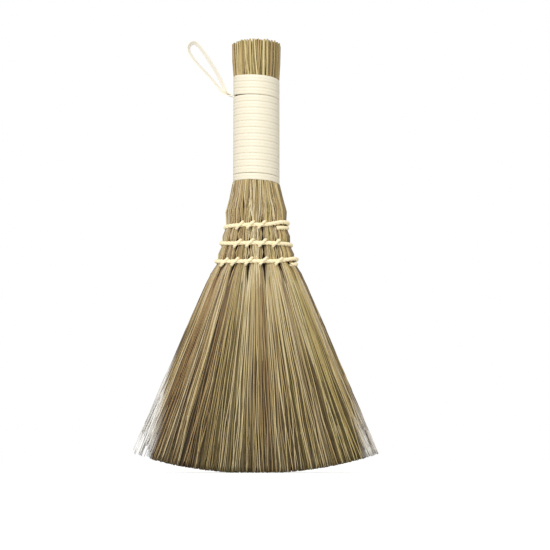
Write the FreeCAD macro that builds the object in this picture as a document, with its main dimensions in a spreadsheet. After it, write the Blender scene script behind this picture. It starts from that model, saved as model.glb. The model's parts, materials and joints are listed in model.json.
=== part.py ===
import FreeCAD, Part
import math
import os

import Sketcher
from FreeCAD import Placement, Rotation, Vector

# Hand broom of grass stalks, in millimetres.
# It stands on its trimmed tips: +Z runs up the grip, +X to the right and -Y to the front.
# Seven tufts run unbroken from the butt ends to the tips. A flat strip is wound round the grip and
# holds the two ends of a hanging loop. Three cords lie round the fan, and a lacing sews each of them
# to the fan through the gaps between the tufts.

SIZES = (
    # Grip
    ("overall_height", 260.0, "floor to the butt ends"),
    ("butt_length", 20.8, "stalks that stand above the wrap"),
    ("butt_radius", 14.8, "bundle at the butt ends"),
    ("shoulder_radius", 14.3, "bundle just above and below the wrap"),
    ("shoulder_step", 1.6, "from the edge of the wrap to that shoulder"),
    ("core_radius", 13.1, "bundle under the wrap"),
    ("core_overlap", 0.5, "how far the narrow bundle reaches out of the wrap"),
    # Wrap
    ("wrap_length", 64.5, "wound stretch of the grip"),
    ("wrap_turns", 15, "count of turns"),
    ("turns_below_loop", 12, "count of turns under the hanging loop"),
    ("strip_width", 3.4, "wound strip, along the grip"),
    ("strip_thickness", 1.0, "wound strip"),
    ("strip_seat", 0.1, "clearance between the stalks and the wrap"),
    ("loop_gap", 1.9, "extra room between the turns where the loop comes out"),
    # Fan
    ("neck_rise", 9.0, "neck above the upper row"),
    ("neck_half_width", 18.2, "fan at the neck"),
    ("neck_half_depth", 12.2, "fan at the neck"),
    ("upper_row_drop", 26.7, "upper band cord below the wrap"),
    ("row_spacing", 11.2, "from one band cord to the next"),
    ("upper_row_half_width", 18.2, "tufts under the upper band cord"),
    ("upper_row_half_depth", 10.4, "tufts under the upper band cord"),
    ("middle_row_half_width", 20.7, "tufts under the middle band cord"),
    ("middle_row_half_depth", 9.9, "tufts under the middle band cord"),
    ("lower_row_half_width", 23.6, "tufts under the lower band cord"),
    ("lower_row_half_depth", 9.4, "tufts under the lower band cord"),
    ("pillow_swell", 0.8, "how far the tufts swell between two rows"),
    ("spread_drop", 6.5, "below the lower row, where the tufts are free"),
    ("spread_half_width", 27.6, "fan at that drop"),
    ("spread_half_depth", 10.4, "fan at that drop"),
    ("floor_half_width", 80.0, "sides of the fan carried down to the floor"),
    ("floor_half_depth", 11.5, "fan at the floor"),
    ("trim_radius", 235.0, "curve that the tips are cut to"),
    ("rest_flat", 0.5, "how deep the lowest tips are pressed flat"),
    ("tuft_gap", 0.3, "between two tufts"),
    ("tuft_crown", 0.8, "how far a tuft stands out in front of its edges"),
    ("parting_depth", 2.2, "partings between the locks of a tuft, at the tips"),
    ("parting_margin", 1.0, "parting cutter outside the tuft"),
    ("cut_overrun", 5.0, "cutting tools past what they cut"),
    # Cords
    ("band_cord_diameter", 2.5, "cord laid round the fan"),
    ("lace_cord_diameter", 1.8, "cord sewn through the fan"),
    ("lace_bend_radius", 2.4, "lacing where it turns into the fan"),
    ("cord_seat", 0.3, "clearance under a band cord"),
    ("lace_seat", 0.5, "clearance between a band cord and the lacing"),
    ("eye_half_width", 1.9, "opening that a stitch pulls between two tufts"),
    ("eye_margin", 1.4, "opening past the lacing, up and down"),
    ("tuck_half_width", 2.7, "opening that the two ends of a band cord go into"),
    ("band_climb", 3.0, "end of a lapped band cord above its row"),
    ("band_drop", 1.7, "start of a lapped band cord below its row"),
    ("tuck_reach", 3.2, "where a band cord starts to turn into its gap"),
    # Hanging loop
    ("loop_width", 3.0, "strip of the loop, from front to back"),
    ("loop_thickness", 0.6, "strip of the loop"),
    ("loop_seat", 0.15, "clearance round the ends of the loop's strip"),
    ("loop_stand_off", 1.2, "bend of the loop outside the wrap"),
    ("tail_length", 8.0, "ends of the loop's strip under the wrap"),
)

# Places of the gaps between the tufts, from left to right, as shares of the fan's half width
GAP_SHARES = (-0.80, -0.53, -0.18, 0.19, 0.58, 0.82)
# Where the flat outer side of an edge tuft stands
EDGE_SHARE = 0.98
# Corners of a tuft's front and back: place across it, and how much of the crown it has there
CROWN_SHARES = ((0, 0), (0.25, 0.75), (0.75, 0.75), (1, 0))
# Partings that divide a tuft's tips into locks: their places across the flat of its crown
PARTING_SHARES = {
    "left_edge_tuft": (),
    "left_outer_tuft": (0.5,),
    "left_inner_tuft": (0.15, 0.8),
    "middle_tuft": (0.2, 0.85),
    "right_inner_tuft": (0.17, 0.8),
    "right_outer_tuft": (0.45,),
    "right_edge_tuft": (),
}
# How far up the free tufts a parting reaches, and half its width for each millimetre of its depth
PARTING_RISE_SHARE = 0.78
PARTING_SLOPE_SHARE = 0.8
# Part of the cutter's margin by which the upper end of a parting stays off the tuft
PARTING_CLEAR_SHARE = 0.25
# How far a stitch leans: sideways for each millimetre up
STITCH_LEAN_SHARE = 0.6

TUFT_NAMES = (
    "left_edge_tuft",
    "left_outer_tuft",
    "left_inner_tuft",
    "middle_tuft",
    "right_inner_tuft",
    "right_outer_tuft",
    "right_edge_tuft",
)

# Flat faces round a cord
CORD_SIDES = 4
# Turn of a band cord, in degrees, that one pair of arcs makes
BIARC_TURN = 30
# Turn of a cord, in degrees, that one of its straight runs stands for
RUN_TURN = 32
# Half the turn, in degrees, over which a band cord's direction is measured
TANGENT_STEP = 0.5
# Part of the shorter run beside a corner that its arc takes up
ARC_SHARE = 0.45

# Hanging loop: points of its strip from the bend outside the wrap, to the side and up
LOOP_ROUTE = (
    (0.6, 0.35),
    (-2.6, 1.5),
    (-4.6, 6.6),
    (-9.6, 15.8),
    (-16.0, 25.6),
    (-21.2, 32.8),
    (-24.9, 33.2),
    (-27.3, 28.9),
    (-22.6, 21.6),
    (-15.2, 14.2),
    (-8.4, 6.4),
    (-3.4, 0.5),
    (0.6, -0.35),
)

doc = FreeCAD.newDocument("hand_broom")
sheet = doc.addObject("Spreadsheet::Sheet", "Sizes")
for row, (alias, value, meaning) in enumerate(SIZES, start=1):
    sheet.set(f"A{row}", meaning)
    sheet.set(f"B{row}", str(value))
    sheet.setAlias(f"B{row}", alias)
doc.recompute()


class Length:
    """A size with the sheet expression that gives it."""

    def __init__(self, value, text):
        self.value = value
        self.text = text

    @staticmethod
    def of(other):
        return other if isinstance(other, Length) else Length(other, f"({other})")

    def __add__(self, other):
        other = Length.of(other)
        return Length(self.value + other.value, f"({self.text} + {other.text})")

    def __sub__(self, other):
        other = Length.of(other)
        return Length(self.value - other.value, f"({self.text} - {other.text})")

    def __mul__(self, factor):
        return Length(self.value * factor, f"({self.text} * ({factor:.6f}))")

    def __neg__(self):
        return self * -1


def size(alias):
    """The named size on the sheet."""
    return Length(float(sheet.get(alias)), f"Sizes.{alias}")


ZERO = Length(0.0, "0")

wrap_top = size("overall_height") - size("butt_length")
wrap_bottom = wrap_top - size("wrap_length")
upper_row = wrap_bottom - size("upper_row_drop")
middle_row = upper_row - size("row_spacing")
lower_row = middle_row - size("row_spacing")


class Station:
    """One level of the bundle: an ellipse that the tufts share. Each tuft has its own crown on it."""

    def __init__(self, height, half_width, half_depth, crown):
        self.height = height
        self.half_width = half_width
        self.half_depth = half_depth
        self.crown = crown

    def across(self, share):
        return self.half_width * share

    def depth(self, across):
        """Half depth of the ellipse at a place across it."""
        share = across.value / self.half_width.value
        text = f"({self.half_depth.text} * sqrt(1 - ({across.text} / {self.half_width.text})^2))"
        return Length(self.half_depth.value * math.sqrt(1 - share**2), text)


def round_station(height, radius):
    return Station(height, radius, radius, ZERO)


def row_station(height, name):
    return Station(height, size(f"{name}_half_width"), size(f"{name}_half_depth"), size("tuft_crown"))


def between_rows(above, below):
    """The swollen level half way between two rows."""
    return Station(
        (above.height + below.height) * 0.5,
        (above.half_width + below.half_width) * 0.5 + size("pillow_swell"),
        (above.half_depth + below.half_depth) * 0.5 + size("pillow_swell"),
        size("tuft_crown"),
    )


ROWS = {
    "upper": row_station(upper_row, "upper_row"),
    "middle": row_station(middle_row, "middle_row"),
    "lower": row_station(lower_row, "lower_row"),
}

STATIONS = (
    round_station(size("overall_height"), size("butt_radius")),
    round_station(wrap_top + size("shoulder_step"), size("shoulder_radius")),
    round_station(wrap_top + size("core_overlap"), size("core_radius")),
    round_station(wrap_bottom - size("core_overlap"), size("core_radius")),
    round_station(wrap_bottom - size("shoulder_step"), size("shoulder_radius")),
    row_station(upper_row + size("neck_rise"), "neck"),
    ROWS["upper"],
    between_rows(ROWS["upper"], ROWS["middle"]),
    ROWS["middle"],
    between_rows(ROWS["middle"], ROWS["lower"]),
    ROWS["lower"],
    row_station(lower_row - size("spread_drop"), "spread"),
    row_station(ZERO, "floor"),
)


def envelope(height):
    """Half width and half depth of the bundle at a height, from the levels above and below it."""
    for above, below in zip(STATIONS, STATIONS[1:]):
        if below.height.value <= height <= above.height.value:
            share = (height - below.height.value) / (above.height.value - below.height.value)
            half_width = below.half_width.value
            half_width += share * (above.half_width.value - half_width)
            half_depth = (below.half_depth + below.crown).value
            half_depth += share * ((above.half_depth + above.crown).value - half_depth)
            return half_width, half_depth
    raise ValueError("this height is outside the broom")


# Sketches

def sketch_on(body, role, name, offset=None):
    """A sketch on one of the body's own planes, raised by an offset from the sheet."""
    plane = next(feature for feature in body.Origin.OriginFeatures if feature.Role == role)
    sketch = body.newObject("Sketcher::SketchObject", name)
    sketch.AttachmentSupport = (plane, [""])
    sketch.MapMode = "FlatFace"
    if offset is not None:
        sketch.AttachmentOffset = Placement(Vector(0, 0, offset.value), Rotation())
        sketch.setExpression("AttachmentOffset.Base.z", offset.text)
    return sketch


def bind(sketch, constraint, length):
    """Add a dimension and tie it to the sheet."""
    index = sketch.addConstraint(constraint)
    sketch.setExpression(f"Constraints[{index}]", length.text)


def pin(sketch, geometry, point, across, up):
    """Dimension one point of a sketch from the origin."""
    bind(sketch, Sketcher.Constraint("DistanceX", geometry, point, across.value), across)
    bind(sketch, Sketcher.Constraint("DistanceY", geometry, point, up.value), up)


def flat(across, up):
    """A sketch point from two sizes."""
    return Vector(across.value, up.value, 0)


def arc_through(sketch, start, middle, end):
    """An arc through three dimensioned places: its index and its index for the start and end points."""
    arc = Part.Arc(flat(*start), flat(*middle), flat(*end))
    index = sketch.addGeometry(arc, False)
    marker = sketch.addGeometry(Part.Point(flat(*middle)), True)
    sketch.addConstraint(Sketcher.Constraint("PointOnObject", marker, 1, index))
    pin(sketch, marker, 1, *middle)
    first = sketch.Geometry[index].StartPoint
    runs_forward = (first - flat(*start)).Length < (first - flat(*end)).Length
    return (index, 1, 2) if runs_forward else (index, 2, 1)


def line_between(sketch, start, end):
    index = sketch.addGeometry(Part.LineSegment(flat(*start), flat(*end)), False)
    return (index, 1, 2)


def close_loop(sketch, edges, corners):
    """Join edges end to start, and dimension the corners between them."""
    for (edge, start, _), (before, _, end), corner in zip(edges, edges[-1:] + edges[:-1], corners):
        sketch.addConstraint(Sketcher.Constraint("Coincident", before, end, edge, start))
        pin(sketch, edge, start, *corner)


def polygon(sketch, corners):
    """A closed outline of straight lines."""
    ends = corners[1:] + corners[:1]
    edges = [line_between(sketch, start, end) for start, end in zip(corners, ends)]
    close_loop(sketch, edges, corners)


def through_pocket(body, sketch, name):
    """Cut a sketch right through the body, both ways."""
    pocket = body.newObject("PartDesign::Pocket", name)
    pocket.Profile = (sketch, [""])
    pocket.SideType = "Symmetric"
    pocket.Type = "ThroughAll"
    return pocket


# Tufts

def tuft_back(station, side_shares):
    """Corners of a tuft's back at one level: a crown in flats between its two sides."""
    half_gap = size("tuft_gap") * 0.5
    left = station.across(side_shares[0]) + half_gap
    right = station.across(side_shares[1]) - half_gap
    corners = []
    for place_share, crown_share in CROWN_SHARES:
        across = left * (1 - place_share) + right * place_share
        corners.append((across, station.depth(across) + station.crown * crown_share))
    return corners


def tuft_section(body, name, station, side_shares):
    """One level of a tuft: the back, the same in front, and straight sides."""
    sketch = sketch_on(body, "XY_Plane", name, station.height)
    back = tuft_back(station, side_shares)
    front = [(across, -depth) for across, depth in reversed(back)]
    polygon(sketch, back + front)
    return sketch


def between(first, second, share):
    """The place a share of the way from one place to another."""
    return tuple(start * (1 - share) + end * share for start, end in zip(first, second))


def parting_section(body, name, height, place, depth, side):
    """A V that reaches to a depth below a place on the tuft's crown."""
    sketch = sketch_on(body, "XY_Plane", name, height)
    across, surface = place
    outside = surface + size("parting_margin")
    bottom = surface - depth
    half_width = (outside - bottom) * PARTING_SLOPE_SHARE
    polygon(
        sketch,
        [
            (across, bottom * side),
            (across + half_width, outside * side),
            (across - half_width, outside * side),
        ],
    )
    return sketch


def cut_parting(body, name, side_shares, flat_share, side):
    """A parting between two locks, deepest at the tips. A side of 1 is the back and -1 the front."""
    spread, floor = STATIONS[-2:]
    low = between(*tuft_back(floor, side_shares)[1:3], flat_share)
    free = between(*tuft_back(spread, side_shares)[1:3], flat_share)
    high = between(low, free, PARTING_RISE_SHARE)
    clear = -(size("parting_margin") * PARTING_CLEAR_SHARE)
    tips = parting_section(body, f"{name}_tips", floor.height, low, size("parting_depth"), side)
    top_height = spread.height * PARTING_RISE_SHARE
    top = parting_section(body, f"{name}_top", top_height, high, clear, side)
    parting = body.newObject("PartDesign::SubtractiveLoft", name)
    parting.Profile = (tips, [""])
    parting.Sections = [(top, [""])]
    parting.Ruled = True


def trim_tips(body):
    """Cut the tips to their long curve. The lowest ones stay pressed flat on the floor."""
    sketch = sketch_on(body, "XZ_Plane", f"{body.Name}_trim_outline")
    reach = size("floor_half_width") + size("cut_overrun")
    radius = size("trim_radius")
    rise_text = f"({radius.text} - sqrt({radius.text}^2 - {reach.text}^2))"
    rise = Length(radius.value - math.sqrt(radius.value**2 - reach.value**2), rise_text)
    side = rise - size("rest_flat")
    below = -size("cut_overrun")
    left = (-reach, side)
    right = (reach, side)
    lowest = (ZERO, -size("rest_flat"))
    corners = [left, right, (reach, below), (-reach, below)]
    edges = [arc_through(sketch, left, lowest, right)]
    edges += [line_between(sketch, *pair) for pair in zip(corners[1:], corners[2:] + corners[:1])]
    close_loop(sketch, edges, corners)
    through_pocket(body, sketch, f"{body.Name}_trim")


def stitch_rise():
    """Height of a stitch's two ends above and below the middle of its band cord."""
    return (size("band_cord_diameter") + size("lace_cord_diameter")) * 0.5 + size("lace_seat")


def stitch_eye(sketch, across, height):
    """A leaning, pointed opening that a stitch pulls between two tufts."""
    half_height = stitch_rise() + size("lace_cord_diameter") * 0.5 + size("eye_margin")
    half_width = size("eye_half_width")
    top = (across + half_height * STITCH_LEAN_SHARE, height + half_height)
    bottom = (across - half_height * STITCH_LEAN_SHARE, height - half_height)
    edges = [
        arc_through(sketch, bottom, (across + half_width, height), top),
        arc_through(sketch, top, (across - half_width, height), bottom),
    ]
    close_loop(sketch, edges, [bottom, top])


def tuck_eye(sketch, across, height):
    """An upright opening with round ends, for the two ends of a band cord."""
    half_width = size("tuck_half_width")
    top = height + size("band_climb")
    bottom = height - size("band_drop")
    left = across - half_width
    right = across + half_width
    corners = [(left, bottom), (right, bottom), (right, top), (left, top)]
    edges = [
        arc_through(sketch, corners[0], (across, bottom - half_width), corners[1]),
        line_between(sketch, corners[1], corners[2]),
        arc_through(sketch, corners[2], (across, top + half_width), corners[3]),
        line_between(sketch, corners[3], corners[0]),
    ]
    close_loop(sketch, edges, corners)


def cut_eyes(body, row_name, side_shares):
    """Cut the openings of one row into the tuft beside its gaps."""
    band = BANDS[row_name]
    laced = [share for share in side_shares if share in LACED_SHARES[row_name]]
    tucked = [share for share in side_shares if share == band.tuck_share]
    if not laced + tucked:
        return
    sketch = sketch_on(body, "XZ_Plane", f"{body.Name}_{row_name}_eyes")
    for share in laced:
        stitch_eye(sketch, band.row.across(share), band.row.height)
    for share in tucked:
        tuck_eye(sketch, band.row.across(share), band.row.height)
    through_pocket(body, sketch, f"{body.Name}_{row_name}_eyes_cut")


def make_tuft(name, side_shares):
    """One tuft, from the butt ends to the tips, with openings at the gaps beside it."""
    body = doc.addObject("PartDesign::Body", name)
    body.Label = name
    sections = [
        tuft_section(body, f"{name}_level_{index}", station, side_shares)
        for index, station in enumerate(STATIONS, start=1)
    ]
    loft = body.newObject("PartDesign::AdditiveLoft", f"{name}_stalks")
    loft.Profile = (sections[0], [""])
    loft.Sections = [(section, [""]) for section in sections[1:]]
    loft.Ruled = True
    for number, flat_share in enumerate(PARTING_SHARES[name], start=1):
        cut_parting(body, f"{name}_back_parting_{number}", side_shares, flat_share, 1)
        cut_parting(body, f"{name}_front_parting_{number}", side_shares, flat_share, -1)
    trim_tips(body)
    for row_name in ROWS:
        cut_eyes(body, row_name, side_shares)
    return body


# Routes

def smooth_step(share):
    """0 before the step, 1 after it, and a smooth rise between."""
    share = min(1.0, max(0.0, share))
    return share * share * (3 - 2 * share)


def arc_from_corner(start, corner, end):
    """The arc that leaves start towards the corner and reaches end from it."""
    half_chord = (end - start) * 0.5
    foot = start + half_chord
    turn = math.acos(min(1.0, half_chord.Length / (corner - start).Length))
    crown = foot + (corner - foot).normalize() * (half_chord.Length * math.tan(turn / 2))
    return Part.Arc(start, crown, end).toShape()


def biarcs(points, tangents):
    """Pairs of tangent arcs from each point to the next."""
    edges = []
    for start, end, leave, arrive in zip(points, points[1:], tangents, tangents[1:]):
        chord = end - start
        along = chord.dot(leave + arrive)
        spread = 2 * (1 - leave.dot(arrive))
        reach = (math.sqrt(along**2 + spread * chord.dot(chord)) - along) / spread
        middle = (start + end + (leave - arrive) * reach) * 0.5
        edges.append(arc_from_corner(start, start + leave * reach, middle))
        edges.append(arc_from_corner(middle, end - arrive * reach, end))
    return edges


def rounded_runs(points, bend_radius=None):
    """Straight runs joined by tangent arcs, as large as the runs allow or of one given radius."""
    edges = []
    radii = []
    start = points[0]
    for before, corner, after in zip(points, points[1:], points[2:]):
        inward = (before - corner).normalize()
        outward = (after - corner).normalize()
        half_turn = (math.pi - inward.getAngle(outward)) / 2
        shorter = min((before - corner).Length, (after - corner).Length)
        largest = ARC_SHARE * shorter
        reach = largest if bend_radius is None else min(largest, bend_radius * math.tan(half_turn))
        radii.append(reach / math.tan(half_turn))
        edges.append(Part.LineSegment(start, corner + inward * reach).toShape())
        start = corner + outward * reach
        edges.append(arc_from_corner(corner + inward * reach, corner, start))
    edges.append(Part.LineSegment(start, points[-1]).toShape())
    return edges, radii


def least_self_gap(edges, diameter):
    """Smallest room between two stretches of one tube, measured on points along its middle line."""
    step = diameter / 4
    skip = math.ceil(math.pi * diameter / step)
    wire = Part.Wire(edges)
    points = wire.discretize(Distance=step)
    gaps = [
        (first - second).Length - diameter
        for index, first in enumerate(points)
        for second in points[index + skip:]
    ]
    return min(gaps) if gaps else None


def in_short_runs(edges):
    """The same route with each arc laid in short straight runs."""
    points = [edges[0].firstVertex().Point]
    for edge in edges:
        turn = math.degrees(edge.Length * edge.curvatureAt(edge.FirstParameter))
        ends = edge.discretize(2 + int(turn / RUN_TURN))
        if (ends[0] - points[-1]).Length > (ends[-1] - points[-1]).Length:
            ends.reverse()
        points += ends[1:]
    return [Part.LineSegment(start, end).toShape() for start, end in zip(points, points[1:])]


def swept_cord(name, edges, diameter, facing):
    """A cord along a route. One flat of its section starts out towards a direction."""
    edges = in_short_runs(edges)
    route = doc.addObject("Part::Feature", f"{name}_route")
    route.Shape = Part.Wire(edges)
    start = edges[0].firstVertex().Point
    ahead = edges[0].tangentAt(edges[0].FirstParameter)
    section = doc.addObject("Part::RegularPolygon", f"{name}_section")
    section.Polygon = CORD_SIDES
    section.setExpression("Circumradius", f"{diameter.text} / 2")
    corner = Rotation(ahead, 180 / CORD_SIDES).multVec(facing)
    section.Placement = Placement(start, Rotation(corner, ahead.cross(corner), ahead, "ZXY"))
    cord = doc.addObject("Part::Sweep", name)
    cord.Sections = [section]
    cord.Spine = (route, [f"Edge{index}" for index in range(1, len(edges) + 1)])
    cord.Solid = True
    cord.Transition = "Right corner"
    cord.Label = name
    print(f"{name}: route {route.Shape.Length:.1f} mm, least gap to itself", end=" ")
    print(f"{least_self_gap(edges, diameter.value):.2f} mm")
    return cord


# Band cords

class BandCord:
    """A cord laid round the fan at one row. Both of its ends are tucked into one gap between tufts."""

    def __init__(self, row, tuck_share, start_front, recovers, climbs):
        self.row = row
        self.tuck_share = tuck_share
        self.recovers = recovers
        self.climbs = climbs
        self.radius = size("band_cord_diameter").value / 2
        self.seat = size("cord_seat").value + self.radius
        turn = self.half_turn(tuck_share)
        self.start = -turn if start_front else turn
        self.end = 360 + turn

    def half_turn(self, gap_share):
        """Turn from the right side to a gap, in degrees."""
        across = self.row.across(gap_share).value
        return math.degrees(math.acos(across / (self.row.half_width.value + self.seat)))

    def turn_behind(self, gap_share):
        turn = self.half_turn(gap_share)
        return turn if turn > self.start else turn + 360

    def turn_in_front(self, gap_share):
        return 360 - self.half_turn(gap_share)

    def height(self, turn):
        """The cord starts below its row, recovers, and climbs over its own start."""
        dropped = 1 - smooth_step((turn - self.start) / (self.recovers - self.start))
        climbed = smooth_step((turn - self.climbs[0]) / (self.climbs[1] - self.climbs[0]))
        change = size("band_climb").value * climbed - size("band_drop").value * dropped
        return self.row.height.value + change

    def point(self, turn):
        """The cord lies on the widest part of the bundle that it covers."""
        height = self.height(turn)
        covered = [envelope(height + side * self.radius / 2) for side in (-1, 0, 1)]
        half_width = max(half_width for half_width, _ in covered) + self.seat
        half_depth = max(half_depth for _, half_depth in covered) + self.seat
        angle = math.radians(turn)
        return Vector(half_width * math.cos(angle), half_depth * math.sin(angle), height)

    def tangent(self, turn):
        return (self.point(turn + TANGENT_STEP) - self.point(turn - TANGENT_STEP)).normalize()

    def tucked_end(self, point, tangent):
        """Corner, bend and tip of a straight run that leaves a point of the cord into its gap."""
        across = self.row.across(self.tuck_share).value
        reach = (across - point.x) / tangent.x
        corner = point + tangent * reach
        inward = Vector(0, -math.copysign(1, point.y), 0)
        bend = corner + inward * reach
        tip = bend + inward * size("band_cord_diameter").value
        return corner, bend, tip

    def tuck_turn(self, turn):
        """How far before its gap the cord starts to turn into it, in degrees."""
        speed = (self.point(turn + 1) - self.point(turn)).Length
        return size("tuck_reach").value / speed

    def route(self):
        """Tucked start, the turn round the fan in biarcs, and the tucked end."""
        first = self.start + self.tuck_turn(self.start)
        last = self.end - self.tuck_turn(self.end)
        count = round((last - first) / BIARC_TURN)
        turns = [first + (last - first) * index / count for index in range(count + 1)]
        points = [self.point(turn) for turn in turns]
        tangents = [self.tangent(turn) for turn in turns]
        corner, bend, tip = self.tucked_end(points[0], -tangents[0])
        edges = [Part.LineSegment(tip, bend).toShape(), arc_from_corner(bend, corner, points[0])]
        edges += biarcs(points, tangents)
        corner, bend, tip = self.tucked_end(points[-1], tangents[-1])
        edges += [arc_from_corner(points[-1], corner, bend), Part.LineSegment(bend, tip).toShape()]
        return edges


BANDS = {
    "upper": BandCord(ROWS["upper"], GAP_SHARES[4], True, recovers=30, climbs=(281, 332)),
    "middle": BandCord(ROWS["middle"], GAP_SHARES[0], False, recovers=215, climbs=(482, 500)),
    "lower": BandCord(ROWS["lower"], GAP_SHARES[5], True, recovers=30, climbs=(290, 345)),
}

# Gaps that each row's lacing goes through, from left to right
LACED_SHARES = {"upper": GAP_SHARES[1:4], "middle": GAP_SHARES[1:5], "lower": GAP_SHARES[:5]}


# Lacing

def lacing_route(row_name):
    """Up over the band cord at each gap in front, and down across it to the next gap behind."""
    band = BANDS[row_name]
    rise = stitch_rise().value
    lean = rise * STITCH_LEAN_SHARE
    points = []
    for gap_share in LACED_SHARES[row_name]:
        front = band.point(band.turn_in_front(gap_share))
        behind = band.point(band.turn_behind(gap_share))
        across = band.row.across(gap_share).value
        points += [
            Vector(across - lean, behind.y + rise, behind.z - rise),
            Vector(across - lean, front.y - rise, front.z - rise),
            Vector(across + lean, front.y - rise, front.z + rise),
            Vector(across + lean, behind.y + rise, behind.z + rise),
        ]
    points[0].y = 0
    points[-1].y = 0
    edges, _ = rounded_runs(points, size("lace_bend_radius").value)
    return edges


# Wrap and hanging loop

class Wrap:
    """The wound strip: one turn after another up the grip, with a wider step at the loop."""

    def __init__(self):
        self.turns = round(size("wrap_turns").value)
        self.loop_turn = round(size("turns_below_loop").value) + 1
        self.width = size("strip_width")
        self.pitch = (size("wrap_length") - self.width - size("loop_gap")) * (1 / self.turns)
        inside = size("core_radius") + size("strip_seat")
        self.radius = (inside + size("strip_thickness") * 0.5).value
        self.outside = inside + size("strip_thickness")

    def level(self, turn):
        """Height of the strip's middle line."""
        stepped = size("loop_gap") if turn > self.loop_turn else ZERO
        return wrap_bottom + self.width * 0.5 + self.pitch * turn + stepped

    def loop_level(self):
        """Middle of the wide gap at the left side, where the loop comes out."""
        left_side = self.loop_turn - 0.25
        return (self.level(left_side) + self.level(left_side + 1)) * 0.5

    def point(self, turn):
        """Turns start behind the grip and climb over the right side, the front and the left side."""
        angle = math.pi / 2 - 2 * math.pi * turn
        across = self.radius * math.cos(angle)
        return Vector(across, self.radius * math.sin(angle), self.level(turn).value)

    def tangent(self, turn):
        angle = math.pi / 2 - 2 * math.pi * turn
        around = 2 * math.pi * self.radius
        ahead = Vector(around * math.sin(angle), -around * math.cos(angle), self.pitch.value)
        return ahead.normalize()

    def route(self):
        """Quarter turns in biarcs, with a straight end of one strip width at each end."""
        quarters = [index / 4 for index in range(4 * self.turns + 1)]
        points = [self.point(turn) for turn in quarters]
        tangents = [self.tangent(turn) for turn in quarters]
        start = points[0] - tangents[0] * self.width.value
        end = points[-1] + tangents[-1] * self.width.value
        lead_in = Part.LineSegment(start, points[0]).toShape()
        lead_out = Part.LineSegment(points[-1], end).toShape()
        return [lead_in] + biarcs(points, tangents) + [lead_out]

    def least_gap(self):
        """Smallest room between two neighbouring turns, measured on points of their edges."""
        checks = [index / 24 for index in range(24 * (self.turns - 1) + 1)]
        steps = [self.level(turn + 1).value - self.level(turn).value for turn in checks]
        return min(steps) - self.width.value


def make_wrap(wrap):
    """A flat section carried along the turns, upright all the way."""
    edges = wrap.route()
    start = edges[0].firstVertex().Point
    outward = Vector(0, 1, 0) * (size("strip_thickness").value / 2)
    upward = Vector(0, 0, 1) * (wrap.width.value / 2)
    corners = [start - outward - upward, start + outward - upward]
    corners += [start + outward + upward, start - outward + upward]
    pipe = Part.BRepOffsetAPI.MakePipeShell(Part.Wire(edges))
    pipe.setBiNormalMode(Vector(0, 0, 1))
    pipe.add(Part.makePolygon(corners + corners[:1]))
    pipe.build()
    pipe.makeSolid()
    piece = doc.addObject("Part::Feature", "handle_wrap")
    piece.Shape = pipe.shape()
    piece.Label = "handle_wrap"
    print(f"handle_wrap: {wrap.turns} turns, least gap to itself {wrap.least_gap():.2f} mm")
    return piece


def recess_depth():
    """Room for both layers of the loop's strip in the left edge tuft."""
    return size("loop_thickness") * 2 + size("loop_seat") * 3


def tail_outline(layer, wrap):
    """Corners of one held end: in between the turns, then up under the turns above."""
    thickness = size("loop_thickness")
    seat = size("loop_seat")
    outer = -wrap.outside
    deep = -(size("core_radius") - recess_depth() + seat)
    if layer == "upper":
        inner = deep - thickness - seat
        bottom = wrap.loop_level() + seat * 0.5
    else:
        inner = deep
        bottom = wrap.loop_level() - seat * 0.5 - thickness
    top = wrap.loop_level() + size("tail_length")
    return [
        (outer, bottom),
        (inner, bottom),
        (inner, top),
        (inner - thickness, top),
        (inner - thickness, bottom + thickness),
        (outer, bottom + thickness),
    ]


def make_tail(layer, wrap):
    """One held end of the loop's strip."""
    name = f"{layer}_loop_tail"
    body = doc.addObject("PartDesign::Body", name)
    body.Label = name
    sketch = sketch_on(body, "XZ_Plane", f"{name}_outline")
    polygon(sketch, tail_outline(layer, wrap))
    pad = body.newObject("PartDesign::Pad", f"{name}_strip")
    pad.Profile = (sketch, [""])
    pad.SideType = "Symmetric"
    pad.setExpression("Length", size("loop_width").text)
    return body


def cut_loop_recess(body, wrap):
    """The hollow in the left edge tuft that takes the held ends of the loop."""
    sketch = sketch_on(body, "XZ_Plane", "loop_recess_outline")
    inner = -(size("core_radius") - recess_depth())
    outer = -(size("core_radius") + size("cut_overrun"))
    bottom = wrap.loop_level() - size("loop_thickness") - size("loop_seat") * 2
    top = wrap.loop_level() + size("tail_length") + size("loop_seat")
    polygon(sketch, [(outer, bottom), (inner, bottom), (inner, top), (outer, top)])
    pocket = body.newObject("PartDesign::Pocket", "loop_recess")
    pocket.Profile = (sketch, [""])
    pocket.SideType = "Symmetric"
    pocket.setExpression("Length", (size("loop_width") + size("loop_seat") * 2).text)


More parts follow.
